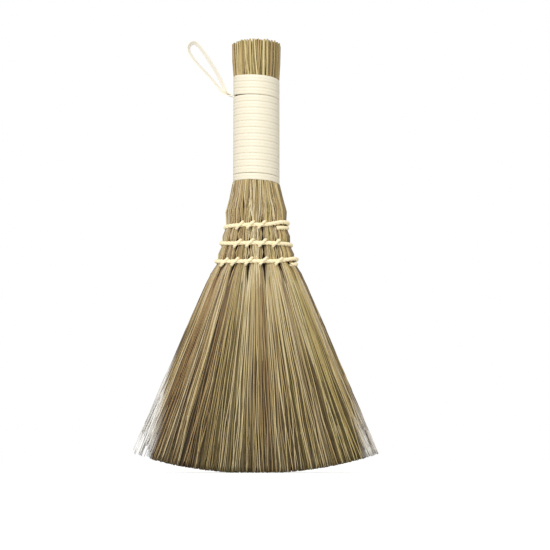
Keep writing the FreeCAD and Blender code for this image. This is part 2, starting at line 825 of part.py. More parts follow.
def make_loop(wrap):
    """The free loop: a flat strip bent in one plane."""
    across = -(wrap.outside + size("loop_stand_off"))
    bend = Vector(across.value, 0, wrap.loop_level().value)
    points = [bend + Vector(across, 0, up) for across, up in LOOP_ROUTE]
    edges, radii = rounded_runs(points)
    print("hang_loop: radii", " ".join(f"{radius:.1f}" for radius in radii), "mm")
    wide = Vector(0, 1, 0) * (size("loop_width").value / 2)
    ahead = (points[1] - points[0]).normalize()
    thick = ahead.cross(Vector(0, 1, 0)) * (size("loop_thickness").value / 2)
    start = points[0]
    corners = [start - wide - thick, start + wide - thick, start + wide + thick, start - wide + thick]
    pipe = Part.BRepOffsetAPI.MakePipeShell(Part.Wire(edges))
    pipe.add(Part.makePolygon(corners + corners[:1]))
    pipe.build()
    pipe.makeSolid()
    piece = doc.addObject("Part::Feature", "hang_loop")
    piece.Shape = pipe.shape()
    piece.Label = "hang_loop"
    section = size("loop_width").value * size("loop_thickness").value
    length = Part.Wire(edges).Length
    print(f"hang_loop: length {length:.1f} mm, volume {piece.Shape.Volume:.1f}", end=" ")
    print(f"against {section * length:.1f} mm3, bend at x {bend.x:.2f} z {bend.z:.2f}")
    return piece


# Assembly

wrap = Wrap()
pieces = []
all_shares = (-EDGE_SHARE,) + GAP_SHARES + (EDGE_SHARE,)
for name, left_share, right_share in zip(TUFT_NAMES, all_shares, all_shares[1:]):
    pieces.append(make_tuft(name, (left_share, right_share)))
cut_loop_recess(pieces[0], wrap)
pieces.append(make_wrap(wrap))
pieces += [make_tail(layer, wrap) for layer in ("upper", "lower")]
pieces.append(make_loop(wrap))
diameter = size("band_cord_diameter")
for row_name, band in BANDS.items():
    name = f"{row_name}_band_cord"
    pieces.append(swept_cord(name, band.route(), diameter, Vector(0, 0, 1)))
diameter = size("lace_cord_diameter")
stitch_direction = Vector(STITCH_LEAN_SHARE, 0, 1)
for row_name in BANDS:
    name = f"{row_name}_lacing"
    pieces.append(swept_cord(name, lacing_route(row_name), diameter, stitch_direction))
doc.recompute()

failed = [item.Name for item in doc.Objects if {"Invalid", "Error"} & set(item.State)]
if failed:
    raise RuntimeError(f"these objects failed: {failed}")
for piece in pieces:
    if piece.Shape.isNull() or not piece.Shape.isValid() or len(piece.Shape.Solids) != 1:
        raise RuntimeError(f"{piece.Label} is not one valid solid")

os.makedirs("parts", exist_ok=True)
for piece in pieces:
    piece.Shape.exportStep(f"parts/{piece.Label}.step")
    print(f"{piece.Label}: {piece.Shape.Volume:.0f} mm3")
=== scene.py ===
import json
import math

import bmesh
import bpy
import numpy as np
from mathutils import Matrix, Vector


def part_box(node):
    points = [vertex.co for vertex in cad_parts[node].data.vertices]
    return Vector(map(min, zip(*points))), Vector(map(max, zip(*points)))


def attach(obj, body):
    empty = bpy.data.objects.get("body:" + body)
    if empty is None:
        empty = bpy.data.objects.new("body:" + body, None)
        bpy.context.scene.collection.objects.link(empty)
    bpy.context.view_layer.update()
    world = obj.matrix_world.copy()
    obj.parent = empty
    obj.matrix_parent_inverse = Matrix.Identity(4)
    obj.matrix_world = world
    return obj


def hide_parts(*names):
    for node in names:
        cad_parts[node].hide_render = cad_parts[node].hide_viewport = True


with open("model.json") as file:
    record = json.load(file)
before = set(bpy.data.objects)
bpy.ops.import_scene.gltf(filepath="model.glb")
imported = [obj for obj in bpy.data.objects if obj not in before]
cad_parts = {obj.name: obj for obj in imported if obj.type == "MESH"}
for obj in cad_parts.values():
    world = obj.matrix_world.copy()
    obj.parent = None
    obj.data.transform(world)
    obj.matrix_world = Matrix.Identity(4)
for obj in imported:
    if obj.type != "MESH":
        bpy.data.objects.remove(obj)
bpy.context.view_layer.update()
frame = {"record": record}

bl_info = {
    "name": "Hand broom",
    "version": (1, 0, 0),
    "blender": (4, 5, 0),
    "location": "View3D > Sidebar > Broom",
    "description": "Grass hand broom with a strip wound grip and a sewn fan",
    "category": "Object",
}

MM = 0.001

# Shares of the half width at which the fan parts into tufts, from left to right
GAP_SHARES = np.array([-0.80, -0.53, -0.18, 0.19, 0.58, 0.82])
TUFT_EDGES = np.concatenate([[-1.0], GAP_SHARES, [1.0]])
TUFT_MIDDLES = (TUFT_EDGES[1:] + TUFT_EDGES[:-1]) / 2
TUFT_HALVES = (TUFT_EDGES[1:] - TUFT_EDGES[:-1]) / 2
TUFTS = (
    "left_edge_tuft",
    "left_outer_tuft",
    "left_inner_tuft",
    "middle_tuft",
    "right_inner_tuft",
    "right_outer_tuft",
    "right_edge_tuft",
)

# Shares at which the tips of the tufts part into locks
PARTING_SHARES = np.array([-0.665, -0.416, -0.303, -0.051, 0.070, 0.321, 0.444, 0.694])

# Bands of the fan where the straw has a colour of its own: share, half width, change of tone and tint.
# A tint near 0 is russet, 0.25 grey, 0.5 straw and 0.8 olive.
STREAKS = (
    (-0.84, 0.09, -0.12, 0.12),
    (-0.68, 0.07, -0.20, 0.22),
    (-0.52, 0.11, -0.46, 0.21),
    (-0.33, 0.07, -0.12, 0.60),
    (-0.16, 0.08, 0.14, 0.60),
    (0.05, 0.06, -0.06, 0.20),
    (0.22, 0.08, 0.08, 0.35),
    (0.38, 0.10, 0.02, 0.52),
    (0.76, 0.10, -0.06, 0.82),
    (0.95, 0.05, 0.14, 0.30),
)

# How much of its half width a tuft loses where a row of stitches draws it in
ROW_PINCH = 0.26

# Route of the free loop from strip to strip: millimetres across and up from its bend
LOOP_ROUTE = (
    (0.75, -0.30),
    (-3.0, 0.9),
    (-4.8, 5.8),
    (-9.6, 15.4),
    (-16.0, 25.6),
    (-21.2, 32.8),
    (-24.9, 33.2),
    (-27.3, 28.9),
    (-22.6, 21.4),
    (-15.2, 13.6),
    (-8.4, 5.6),
    (-3.8, -0.2),
    (0.75, -0.85),
)

# The two ends of the loop's strip, which lie on one another under the top turns of the wound strip
TAIL_ROUTE = ((1.2, -0.8), (2.4, -1.0), (3.0, 0.4), (3.1, 4.0), (3.1, 8.0))

WRAP_LOW, WRAP_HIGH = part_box("handle_wrap")
LOOP_BEND = Vector(frame["record"]["behaviour"]["joints"][0]["pos_m"])

# Heights in the free fan: where the stalks of the neck come loose, and where they lie deepest
LOOSE_HEIGHT = 0.098
DEEP_HEIGHT = 0.04

# The corners of the fan where the straw is thin and bleached: the share that each starts at, and its height
LEFT_CORNER_SHARE = 0.76
LEFT_CORNER_HEIGHT = 78 * MM
RIGHT_CORNER_SHARE = 0.78
RIGHT_CORNER_HEIGHT = 50 * MM

# How many locks the bristles of a batch gather into
LOCK_COUNT = 120

# Shares of the straw: stalks of the neck that cross others, bristles that stray from their lock, broken ones
CROSSING_SHARE = 0.55
STRAY_SHARE = 0.4
BROKEN_SHARE = 0.16

# Tone of the straw where no streak changes it
NECK_TONE = 0.64
FAN_TONE = 0.74

WHITE = (1.0, 1.0, 1.0, 1.0)


def linear(hex_colour):
    """An sRGB colour written as six hex digits, as linear values."""
    values = []
    for start in (0, 2, 4):
        share = int(hex_colour[start:start + 2], 16) / 255
        values.append(share / 12.92 if share <= 0.04045 else ((share + 0.055) / 1.055) ** 2.4)
    return tuple(values)


def rgba(colour):
    """A colour that lets no light through."""
    return (*colour, 1.0)


def length_property(name, description, default):
    return bpy.props.FloatProperty(
        name=name, description=description, default=default, min=0.0, precision=5, unit="LENGTH"
    )


def count_property(name, description, default):
    return bpy.props.IntProperty(name=name, description=description, default=default, min=1)


def angle_property(name, description, degrees):
    return bpy.props.FloatProperty(
        name=name, description=description, default=math.radians(degrees), subtype="ANGLE"
    )


def colour_property(name, description, hex_colour):
    return bpy.props.FloatVectorProperty(
        name=name, description=description, default=linear(hex_colour), subtype="COLOR", min=0.0, max=1.0
    )


class GripSizes(bpy.types.PropertyGroup):
    """The stalk bundle above the fan, and the strip wound round it."""

    butt_top: length_property("Butt top", "Height of the tallest cut stalk ends", 0.2613)
    butt_radius: length_property("Butt radius", "Radius of the bundle at its cut ends", 0.0148)
    core_radius: length_property("Core radius", "Radius of the bundle under the strip", 0.0131)
    shoulder_radius: length_property("Shoulder radius", "Radius just outside the strip", 0.0143)
    stalk_diameter: length_property("Stalk diameter", "Thickness of a stalk at its cut end", 0.0011)
    strip_foot: length_property("Strip foot", "Height of the strip's lower edge in front", 0.17482)
    strip_pitch: length_property("Strip pitch", "Rise of the wound strip in one turn", 0.0040)
    strip_room: length_property("Strip room", "Room between two turns of the strip", 0.00005)
    strip_thickness: length_property("Strip thickness", "Thickness of the wound strip", 0.0010)
    strip_groove: length_property("Strip groove", "Depth of the groove along the strip", 0.00012)
    loop_gap: length_property("Loop gap", "Room between the turns where the loop comes out", 0.0011)
    turn_gap: length_property("Turn gap", "Room over the turn that the loop comes out on", 0.00028)
    turns: count_property("Turns", "Turns of the strip", 16)
    turns_below: count_property("Turns below", "Turns of the strip under the loop", 13)


class FanSizes(bpy.types.PropertyGroup):
    """The sewn part of the bundle and the bristles below it."""

    neck: length_property("Neck height", "Height at which the neck is fullest", 0.157)
    upper_row: length_property("Upper row", "Height of the upper row of stitches", 0.1475)
    row_spacing: length_property("Row spacing", "Height from one row of stitches to the next", 0.01095)
    spread: length_property("Spread height", "Height at which the free bristles start", 0.1191)
    trim_radius: length_property("Trim radius", "Radius of the line that the tips are cut to", 0.235)
    trim_flat: length_property("Trim flat", "Depth of the flat on the lowest tips", 0.0005)
    groove: length_property("Groove", "How far a tuft bulges between its gaps at a row", 0.0014)
    crown: length_property("Crown", "How far a tuft stands out in the free fan", 0.0006)
    parting_depth: length_property("Parting depth", "Partings between locks, at the tips", 0.0022)
    parting_top: length_property("Parting top", "Height at which the partings run out", 0.093)
    stalk_diameter: length_property("Stalk diameter", "Thickness of a stalk in the neck", 0.0008)
    bristle_diameter: length_property("Bristle diameter", "Thickness of a bristle in the fan", 0.00066)
    stalk_count: count_property("Stalks", "Stalks round the neck", 640)
    bristle_count: count_property("Bristles", "Bristles on the faces of the fan", 3600)
    inner_count: count_property("Inner bristles", "Bristles inside the fan", 1300)
    seed: bpy.props.IntProperty(name="Seed", description="Start of the random numbers", default=7)


class CordSizes(bpy.types.PropertyGroup):
    """Sewing cords and the hanging loop."""

    band_diameter: length_property("Band diameter", "Thickness of a band cord", 0.0025)
    lace_diameter: length_property("Lace diameter", "Thickness of a lacing", 0.0019)
    twist_length: length_property("Twist length", "Length of one turn of a cord's twist", 0.0075)
    band_climb: length_property("Band climb", "Rise of a band's end over its own start", 0.0024)
    band_drop: length_property("Band drop", "How far a band's start lies under its row", 0.0015)
    loop_width: length_property("Loop width", "Width of the hanging loop's strip", 0.0030)
    loop_thickness: length_property("Loop thickness", "Thickness of the hanging loop's strip", 0.0006)
    loop_lean: angle_property("Loop lean", "Lean of the loop's strip out of the line from front to back", 32)


class BroomColours(bpy.types.PropertyGroup):
    """Colours of the grass, strip and cords."""

    straw_dark: colour_property("Dark straw", "Darkest bristles", "3E2F20")
    straw_brown: colour_property("Brown straw", "Weathered bristles", "735C3E")
    straw_middle: colour_property("Straw", "Most of the bristles", "B89E6C")
    straw_light: colour_property("Light straw", "Fresh bristles", "DCC790")
    straw_pale: colour_property("Pale straw", "Sun bleached bristles", "F6EAC6")
    bleached: colour_property("Bleached", "Thin bristles at the corners of the fan", "FCFBF7")
    # Painted shade: this colour darkens the straw a little towards the tips
    painted_tip_shade: colour_property("Tip shade", "What the straw's colour is dulled by at the tips", "F8F4EA")
    olive: colour_property("Olive", "Bristles that stayed green", "9C9454")
    russet: colour_property("Russet", "Bristles that went red brown", "96664A")
    grey: colour_property("Grey", "Bristles that went grey", "9A8C7C")
    # Painted shade: the packed straw is made this dark to stand for the shade seen between the bristles
    deep: colour_property("Deep straw", "Packed straw that is seen between the bristles", "3D2E1E")
    pith: colour_property("Pith", "Cut ends of the stalks", "D9CA9C")
    strip: colour_property("Strip", "Wound strip", "EBE3CD")
    loop: colour_property("Loop", "Hanging loop", "F4EFE2")
    strip_line: colour_property("Strip line", "Fine lines along the strip", "E5DBC2")
    cord: colour_property("Cord", "Sewing cord", "FFF2CC")
    cord_shade: colour_property("Cord shade", "Fibres that show less light", "F0DFAE")


class StageSettings(bpy.types.PropertyGroup):
    """Floor, light and camera."""

    floor_size: length_property("Floor size", "Side of the floor", 12.0)
    camera_distance: length_property("Camera distance", "From the camera to the broom", 0.9)
    camera_height: length_property("Camera height", "Height of the lens", 0.008)
    camera_side: length_property("Camera side", "How far the lens stands to the right", 0.0114)
    camera_pitch: angle_property("Camera pitch", "Upward tilt of the camera", 7)
    camera_lens: bpy.props.FloatProperty(
        name="Lens", description="Focal length of the camera", default=98.2, unit="CAMERA"
    )
    key_power: bpy.props.FloatProperty(
        name="Key power", description="Power of the large lamp", default=10.0, unit="POWER"
    )
    sky_strength: bpy.props.FloatProperty(
        name="Sky strength", description="Strength of the even light from all round", default=0.68
    )


# Materials

def add_node(tree, kind, inputs=None, stops=None, **settings):
    """Add a node with its settings and its ramp stops, and fill or link its inputs."""
    node = tree.nodes.new(kind)
    for name, value in settings.items():
        setattr(node, name, value)
    if stops:
        ramp = node.color_ramp
        while len(ramp.elements) < len(stops):
            ramp.elements.new(1.0)
        for element, (position, colour) in zip(ramp.elements, stops):
            element.position = position
            element.color = rgba(colour)
    for name, value in (inputs or {}).items():
        if isinstance(value, bpy.types.NodeSocket):
            tree.links.new(value, node.inputs[name])
        else:
            node.inputs[name].default_value = value
    return node


def new_material(name):
    """An empty material and its node tree."""
    material = bpy.data.materials.new(name)
    material.use_nodes = True
    tree = material.node_tree
    tree.nodes.clear()
    return material, tree


def attribute_value(tree, name):
    """A value that a mesh carries under a name."""
    return add_node(tree, "ShaderNodeAttribute", attribute_name=name).outputs["Fac"]


def place_on_piece(tree):
    return add_node(tree, "ShaderNodeTexCoord").outputs["Object"]


def upright_part(tree, vector):
    return add_node(tree, "ShaderNodeSeparateXYZ", {"Vector": vector}).outputs["Z"]


def ramp_colour(tree, share, *stops):
    """A colour that goes through stops as a share grows."""
    return add_node(tree, "ShaderNodeValToRGB", {"Fac": share}, stops=stops).outputs["Color"]


def mix_colours(tree, share, first, second, blend_type="MIX"):
    """Two colours blended by a share."""
    inputs = {0: share, 6: first, 7: second}
    mix = add_node(tree, "ShaderNodeMix", inputs, data_type="RGBA", blend_type=blend_type)
    return mix.outputs[2]


def shaded(tree, colour, shade):
    """A colour multiplied by a shade."""
    return mix_colours(tree, 1.0, colour, shade, "MULTIPLY")


def change_range(tree, value, source, target):
    """A value moved from one range to another, and held inside it."""
    inputs = {"Value": value}
    inputs["From Min"], inputs["From Max"] = source
    inputs["To Min"], inputs["To Max"] = target
    return add_node(tree, "ShaderNodeMapRange", inputs).outputs["Result"]


def lengthwise_noise(tree, across, along):
    """Noise that is drawn out along the straw: how fine it is across and along."""
    inputs = {"Vector": place_on_piece(tree), "Scale": (across, across, along)}
    stretch = add_node(tree, "ShaderNodeMapping", inputs).outputs["Vector"]
    return add_node(tree, "ShaderNodeTexNoise", {"Vector": stretch, "Scale": 1.0}).outputs["Fac"]


def fine_bump(tree, height, strength):
    inputs = {"Height": height, "Strength": strength, "Distance": 0.1 * MM}
    return add_node(tree, "ShaderNodeBump", inputs).outputs["Normal"]


def finish_surface(tree, colour, roughness, specular, normal=None):
    """Give a material its surface and its output."""
    inputs = {"Base Color": colour, "Roughness": roughness, "Specular IOR Level": specular}
    if normal:
        inputs["Normal"] = normal
    surface = add_node(tree, "ShaderNodeBsdfPrincipled", inputs)
    add_node(tree, "ShaderNodeOutputMaterial", {"Surface": surface.outputs["BSDF"]})


def straw_colour(tree, tones, tints, tint_share):
    """The colour of each straw from its own tone, with a share of its own tint."""
    by_tone = ramp_colour(tree, attribute_value(tree, "tone"), *tones)
    by_tint = ramp_colour(tree, attribute_value(tree, "tint"), *tints)
    return mix_colours(tree, tint_share, by_tone, by_tint)


def streaks_and_painted_depth_shade(tree, streaks, streak_shades, deepest):
    """How dark straw is from the streaks along it, and painted shade from its depth in the bundle."""
    streak = change_range(tree, streaks, (0.3, 0.7), streak_shades)
    # Painted shade: the deeper a straw lies, the darker it is painted
    sunk = change_range(tree, attribute_value(tree, "depth"), (0.0, 1.0), (1.0, deepest))
    return add_node(tree, "ShaderNodeMath", {0: streak, 1: sunk}, operation="MULTIPLY").outputs["Value"]


def straw_material(colours):
    """Dried grass bristles: every bristle has its own tone, from brown to pale straw. They get a little
    painted shade towards the tips and painted shade where they lie deep, and they are bleached at the
    corners of the fan."""
    material, tree = new_material("dried_grass_bristles")
    tones = (
        (0.0, colours.straw_dark),
        (0.22, colours.straw_brown),
        (0.5, colours.straw_middle),
        (0.78, colours.straw_light),
        (1.0, colours.straw_pale),
    )
    tints = (
        (0.0, colours.russet),
        (0.25, colours.grey),
        (0.5, colours.straw_middle),
        (0.75, colours.olive),
        (1.0, colours.olive),
    )
    straw = straw_colour(tree, tones, tints, tint_share=0.42)
    height = upright_part(tree, place_on_piece(tree))
    # Painted shade that darkens the straw a little below the top of the free fan
    above_tips = change_range(tree, height, (0.06, 0.115), (0.0, 1.0))
    straw = shaded(tree, straw, mix_colours(tree, above_tips, rgba(colours.painted_tip_shade), WHITE))
    straw = mix_colours(tree, attribute_value(tree, "pale"), straw, rgba(colours.bleached))
    streaks = lengthwise_noise(tree, across=2600.0, along=70.0)
    # Streaks along the straw, and painted shade where it lies deep
    straw = shaded(tree, straw, streaks_and_painted_depth_shade(tree, streaks, streak_shades=(0.86, 1.12), deepest=0.30))
    finish_surface(tree, straw, roughness=0.66, specular=0.25)
    return material


def butt_material(colours):
    """Cut stalks at the top of the grip: tan, olive and brown sides with fine lengthwise lines, and
    paler pith on the cut ends."""
    material, tree = new_material("dried_grass_stalks")
    tones = (
        (0.0, colours.straw_brown),
        (0.3, colours.straw_middle),
        (0.6, colours.straw_light),
        (1.0, colours.straw_pale),
    )
    tints = (
        (0.0, colours.russet),
        (0.3, colours.straw_light),
        (0.6, colours.olive),
        (1.0, colours.olive),
    )
    side = straw_colour(tree, tones, tints, tint_share=0.38)
    streaks = lengthwise_noise(tree, across=2400.0, along=90.0)
    # Streaks along the stalks, and painted shade on the inner rings of stalks
    side = shaded(tree, side, streaks_and_painted_depth_shade(tree, streaks, streak_shades=(0.78, 1.12), deepest=0.4))
    upward = upright_part(tree, add_node(tree, "ShaderNodeNewGeometry").outputs["True Normal"])
    is_cut = add_node(tree, "ShaderNodeMath", {0: upward, 1: 0.8}, operation="GREATER_THAN")
    colour = mix_colours(tree, is_cut.outputs["Value"], side, rgba(colours.pith))
    finish_surface(tree, colour, roughness=0.6, specular=0.3)
    return material


def packed_straw_shade_material(colours):
    """Straw packed deep in the bundle, painted nearly dark as the shade seen between the bristles, with
    faint lengthwise streaks.
    """
    material, tree = new_material("packed_grass_painted_shade")
    streaks = lengthwise_noise(tree, across=1400.0, along=40.0)
    colour = ramp_colour(tree, streaks, (0.3, colours.deep), (0.8, colours.straw_dark))
    finish_surface(tree, colour, roughness=0.9, specular=0.1)
    return material


def lined_strip(name, line_colour, strip_colour):
    """A half glossy strip with faint lines that run along it."""
    material, tree = new_material(name)
    inputs = {"W": attribute_value(tree, "across"), "Scale": 3.0}
    lines = add_node(tree, "ShaderNodeTexNoise", inputs, noise_dimensions="1D").outputs["Fac"]
    colour = ramp_colour(tree, lines, (0.32, line_colour), (0.55, strip_colour))
    finish_surface(tree, colour, roughness=0.42, specular=0.4, normal=fine_bump(tree, lines, 0.12))
    return material


def strip_material(colours):
    """Extruded plastic strip: ivory, with faint lines that run along it."""
    return lined_strip("extruded_plastic_strip", colours.strip_line, colours.strip)


def loop_material(colours):
    """The same strip split thinner for the loop, so that it looks nearly white."""
    return lined_strip("thin_plastic_strip", colours.strip, colours.loop)


def cord_material(colours):
    """Waxed twisted sewing cord: creamy yellow fibres with duller ones between them."""
    material, tree = new_material("waxed_twisted_cord")
    inputs = {"Vector": place_on_piece(tree), "Scale": 2200.0, "Detail": 3.0}
    fibres = add_node(tree, "ShaderNodeTexNoise", inputs).outputs["Fac"]
    colour = ramp_colour(tree, fibres, (0.3, colours.cord_shade), (0.52, colours.cord))
    finish_surface(tree, colour, roughness=0.72, specular=0.25, normal=fine_bump(tree, fibres, 0.3))
    return material


MATERIAL_MAKERS = {
    "dried_grass_bristles": straw_material,
    "dried_grass_stalks": butt_material,
    "packed_grass_painted_shade": packed_straw_shade_material,
    "extruded_plastic_strip": strip_material,
    "thin_plastic_strip": loop_material,
    "waxed_twisted_cord": cord_material,
}


def material_named(name, context):
    """The material of that name, made when it is first asked for."""
    found = bpy.data.materials.get(name)
    return found or MATERIAL_MAKERS[name](context.scene.broom_colours)


# Shapes shared by the pieces

def add_piece(context, name, mesh, material_name, body="broom"):
    """A finished mesh as a piece of the broom."""
    mesh.materials.clear()
    mesh.materials.append(material_named(material_name, context))
    piece = bpy.data.objects.new(name, mesh)
    context.scene.collection.objects.link(piece)
    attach(piece, body)
    return piece


def mesh_of_curve(curve):
    """The mesh that a curve makes. The curve is used up."""
    holder = bpy.data.objects.new(curve.name, curve)
    mesh = bpy.data.meshes.new_from_object(holder)
    bpy.data.objects.remove(holder)
    bpy.data.curves.remove(curve)
    return mesh


def mesh_of_form(name, form):
    """The mesh of a form. The form is used up."""
    mesh = bpy.data.meshes.new(name)
    form.to_mesh(mesh)
    form.free()
    return mesh


def strip_of_form(name, form):
    """The mesh of a strip's form, shaded smooth between its edges."""
    bmesh.ops.recalc_face_normals(form, faces=form.faces)
    mesh = mesh_of_form(name, form)
    mesh.shade_smooth()
    mesh.set_sharp_from_angle(angle=math.radians(50))
    return mesh


def tube_mesh(name, paths, thicknesses, sides, marks=None):
    """Closed tapered tubes along paths of equally many points. A mark has a value for each tube, or for
    each point of each tube."""
    curve = bpy.data.curves.new(name, "CURVE")
    curve.dimensions = "3D"
    curve.bevel_depth = 0.5
    curve.bevel_resolution = sides // 2 - 2
    for path, thickness in zip(paths, thicknesses):
        spline = curve.splines.new("POLY")
        spline.points.add(len(path) - 1)
        spline.points.foreach_set("co", np.column_stack([path, np.ones(len(path))]).ravel())
        spline.points.foreach_set("radius", np.ascontiguousarray(thickness))
    mesh = mesh_of_curve(curve)
    mesh.name = name
    form = bmesh.new()
    form.from_mesh(mesh)
    bmesh.ops.holes_fill(form, edges=[edge for edge in form.edges if edge.is_boundary], sides=sides)
    form.to_mesh(mesh)
    form.free()
    mesh.shade_smooth()
    for mark, values in (marks or {}).items():
        attribute = mesh.attributes.new(mark, "FLOAT", "POINT")
        repeats = len(mesh.vertices) // values.size
        attribute.data.foreach_set("value", np.repeat(values.ravel(), repeats).astype(np.float32))
    return mesh


def smooth_path(points):
    """Points along an open spline that has these control points."""
    curve = bpy.data.curves.new("route", "CURVE")
    curve.dimensions = "3D"
    curve.resolution_u = 8
    spline = curve.splines.new("NURBS")
    spline.points.add(len(points) - 1)
    for place, point in zip(spline.points, points):
        place.co = (*point, 1.0)
    spline.order_u = 3
    spline.use_endpoint_u = True
    mesh = mesh_of_curve(curve)
    path = np.array([vertex.co for vertex in mesh.vertices])
    bpy.data.meshes.remove(mesh)
    return path


def even_path(path, step):
    """The same path with points about one step apart."""
    lengths = np.linalg.norm(np.diff(path, axis=0), axis=1)
    along = np.concatenate([[0.0], np.cumsum(lengths)])
    count = max(int(along[-1] / step), 4)
    places = np.linspace(0.0, along[-1], count)
    return np.column_stack([np.interp(places, along, path[:, axis]) for axis in range(3)])


def twisted_cord(name, path, diameter, twist_length, plies=3):
    """A cord of a few plies twisted round a path."""
    step = twist_length / 10
    path = even_path(path, step)
    forward = np.gradient(path, axis=0)
    forward /= np.linalg.norm(forward, axis=1)[:, None]
    side = np.cross(forward[0], (0.3, 0.5, 0.8))
    ply_reach = diameter * 0.24
    ply_diameter = diameter * 0.56
    plies_at = np.arange(plies) * 2 * math.pi / plies
    ply_paths = np.empty((plies, len(path), 3))
    for index, (point, ahead) in enumerate(zip(path, forward)):
        side = side - ahead * np.dot(side, ahead)
        side /= np.linalg.norm(side)
        other = np.cross(ahead, side)
        turns = plies_at + 2 * math.pi * index * step / twist_length
        ply_paths[:, index] = point + ply_reach * (
            np.cos(turns)[:, None] * side + np.sin(turns)[:, None] * other
        )
    thickness = np.full((plies, len(path)), ply_diameter)
    return tube_mesh(name, ply_paths, thickness, 6)


# Form of the bundle

def strip_start(grip):
    """Height of the strip's middle where it starts behind the grip, half a turn before its front."""
    half_width = (grip.strip_pitch - grip.strip_room) / 2
    return grip.strip_foot + half_width - grip.strip_pitch / 2


def turn_share(angle):
    """Share of a turn that the strip has made at an angle, from its start behind the grip."""
    return (0.25 - angle / (2 * math.pi)) % 1.0


class Bundle:
    """Outline of the straw bundle at any height, and how the rows of stitches pinch its tufts."""

    def __init__(self, context):
        fan = context.scene.broom_fan
        grip = context.scene.broom_grip
        self.fan = fan
        self.grip = grip
        self.rows = [fan.upper_row - fan.row_spacing * index for index in range(3)]
        upper, middle, lower = self.rows
        pillow = fan.row_spacing / 2
        self.strip_bottom = strip_start(grip) - grip.strip_pitch / 2

        # Height and radius under the strip, then height, half width and half depth below it
        round_levels = [
            (self.strip_bottom + 8 * MM, grip.core_radius - 1.2 * MM),
            (self.strip_bottom + 0.8 * MM, grip.core_radius - 0.8 * MM),
            (self.strip_bottom - 1.0 * MM, grip.shoulder_radius - 0.3 * MM),
        ]
        flat_levels = [
            (fan.neck, 18.2 * MM, 12.2 * MM),
            (upper, 18.2 * MM, 10.4 * MM),
            (upper - pillow, 20.3 * MM, 11.0 * MM),
            (middle, 20.7 * MM, 9.9 * MM),
            (middle - pillow, 23.0 * MM, 10.5 * MM),
            (lower, 23.6 * MM, 9.4 * MM),
            (fan.spread, 27.6 * MM, 10.4 * MM),
            (0.0, 80.0 * MM, 11.5 * MM),
        ]
        levels = [(height, radius, radius) for height, radius in round_levels] + flat_levels
        self.levels = np.array(levels[::-1])

        # Height, and how much of its half width a tuft loses there
        self.pinch_levels = np.array(
            [
                (0.0, 0.0),
                (lower - 24 * MM, 0.0),
                (lower - 9 * MM, 0.05),
                (lower - 4 * MM, 0.20),
                (lower, ROW_PINCH),
                (lower + pillow, 0.10),
                (middle, ROW_PINCH),
                (middle + pillow, 0.10),
                (upper, ROW_PINCH),
                (upper + 5 * MM, 0.06),
                (upper + 12 * MM, 0.0),
            ]
        )

    def half_width(self, height):
        return np.interp(height, self.levels[:, 0], self.levels[:, 1])

    def half_depth(self, height):
        return np.interp(height, self.levels[:, 0], self.levels[:, 2])

    def pinch(self, height):
        return np.interp(height, self.pinch_levels[:, 0], self.pinch_levels[:, 1])

    def crown(self, in_tuft, height):
        """How far a tuft stands out between its two gaps."""
        free = self.fan.crown * np.clip(2 - 2 * np.abs(in_tuft), 0.0, 1.0)
        sewn = self.fan.groove * (np.clip(1 - in_tuft ** 2, -0.4, 1.0) - 0.5)
        return free + (sewn - free) * self.pinch(height) / ROW_PINCH

    def parting(self, shares, height):
        """How far the straw lies back where the tips part into locks."""
        deepest = self.fan.parting_depth * np.clip(1 - height / self.fan.parting_top, 0.0, 1.0)
        away = np.abs(shares[..., None] - PARTING_SHARES).min(axis=-1) * self.half_width(height)
        steepness = 1.25
        return np.maximum(deepest - away * steepness, 0.0)

    def trim(self, across):
        """Height of the cut tips."""
        radius = self.fan.trim_radius
        height = radius - np.sqrt(radius ** 2 - across ** 2) - self.fan.trim_flat
        return np.maximum(height, 0.0)

    def tip_height(self, shares):
        """Height of the cut tips of bristles that lie at these shares of the half width."""
        height = np.zeros_like(shares)
        for _ in range(3):
            height = self.trim(shares * self.half_width(height))
        return height

    def lay(self, tufts, shares, depths, heights):
        """Points of straw: a share across, a share of the depth, and heights from top to tip."""
        middles = TUFT_MIDDLES[tufts][:, None]
        halves = TUFT_HALVES[tufts][:, None]
        in_tuft = (shares - middles) / halves
        pinched = middles + halves * in_tuft * (1 - self.pinch(heights))
        round_share = np.sqrt(np.clip(1 - pinched ** 2, 0.02, 1.0))
        across = pinched * self.half_width(heights)
        face = self.half_depth(heights) * round_share + self.crown(in_tuft, heights)
        front = depths * (face - self.parting(pinched, heights))
        return np.stack([across, front, heights + np.zeros_like(across)], axis=-1)


def rising(values, start, end):
    """0 up to the start, 1 from the end on, and even between them."""
    return np.clip((values - start) / (end - start), 0.0, 1.0)


def some_of(random, count, share):
    """Marks about a share of the straws."""
    return random.uniform(0, 1, count) < share


def streaky(random, shares, count):
    """Slow changes across the fan, so that neighbouring bristles are alike: about from -1 to 1."""
    total = np.zeros_like(shares)
    for _ in range(count):
        total += np.sin(shares * random.uniform(8, 60) + random.uniform(0, 2 * math.pi))
    return total / math.sqrt(count)


def streak_colours(shares):
    """Change of tone and tint that straw has from the streaks it lies in."""
    tone = np.zeros_like(shares)
    tint = np.full_like(shares, 0.5)
    for share, half_width, tone_change, streak_tint in STREAKS:
        weight = np.exp(-((shares - share) / half_width) ** 2)
        tone += weight * tone_change
        tint += weight * (streak_tint - tint)
    return tone, tint


class Straw:
    """A batch of straw: what its tubes follow, how thick they are and how they are coloured."""

    def __init__(self, tufts, paths, thicknesses, tone, tint, depth, pale):
        self.tufts = tufts
        self.paths = paths
        self.thicknesses = thicknesses
        # The depth mark carries painted shade for straw that lies deep
        self.marks = {"tone": tone, "tint": tint, "depth": depth, "pale": pale}

    def of_tuft(self, tuft):
        chosen = self.tufts == tuft
        marks = {name: values[chosen] for name, values in self.marks.items()}
        return self.paths[chosen], self.thicknesses[chosen], marks


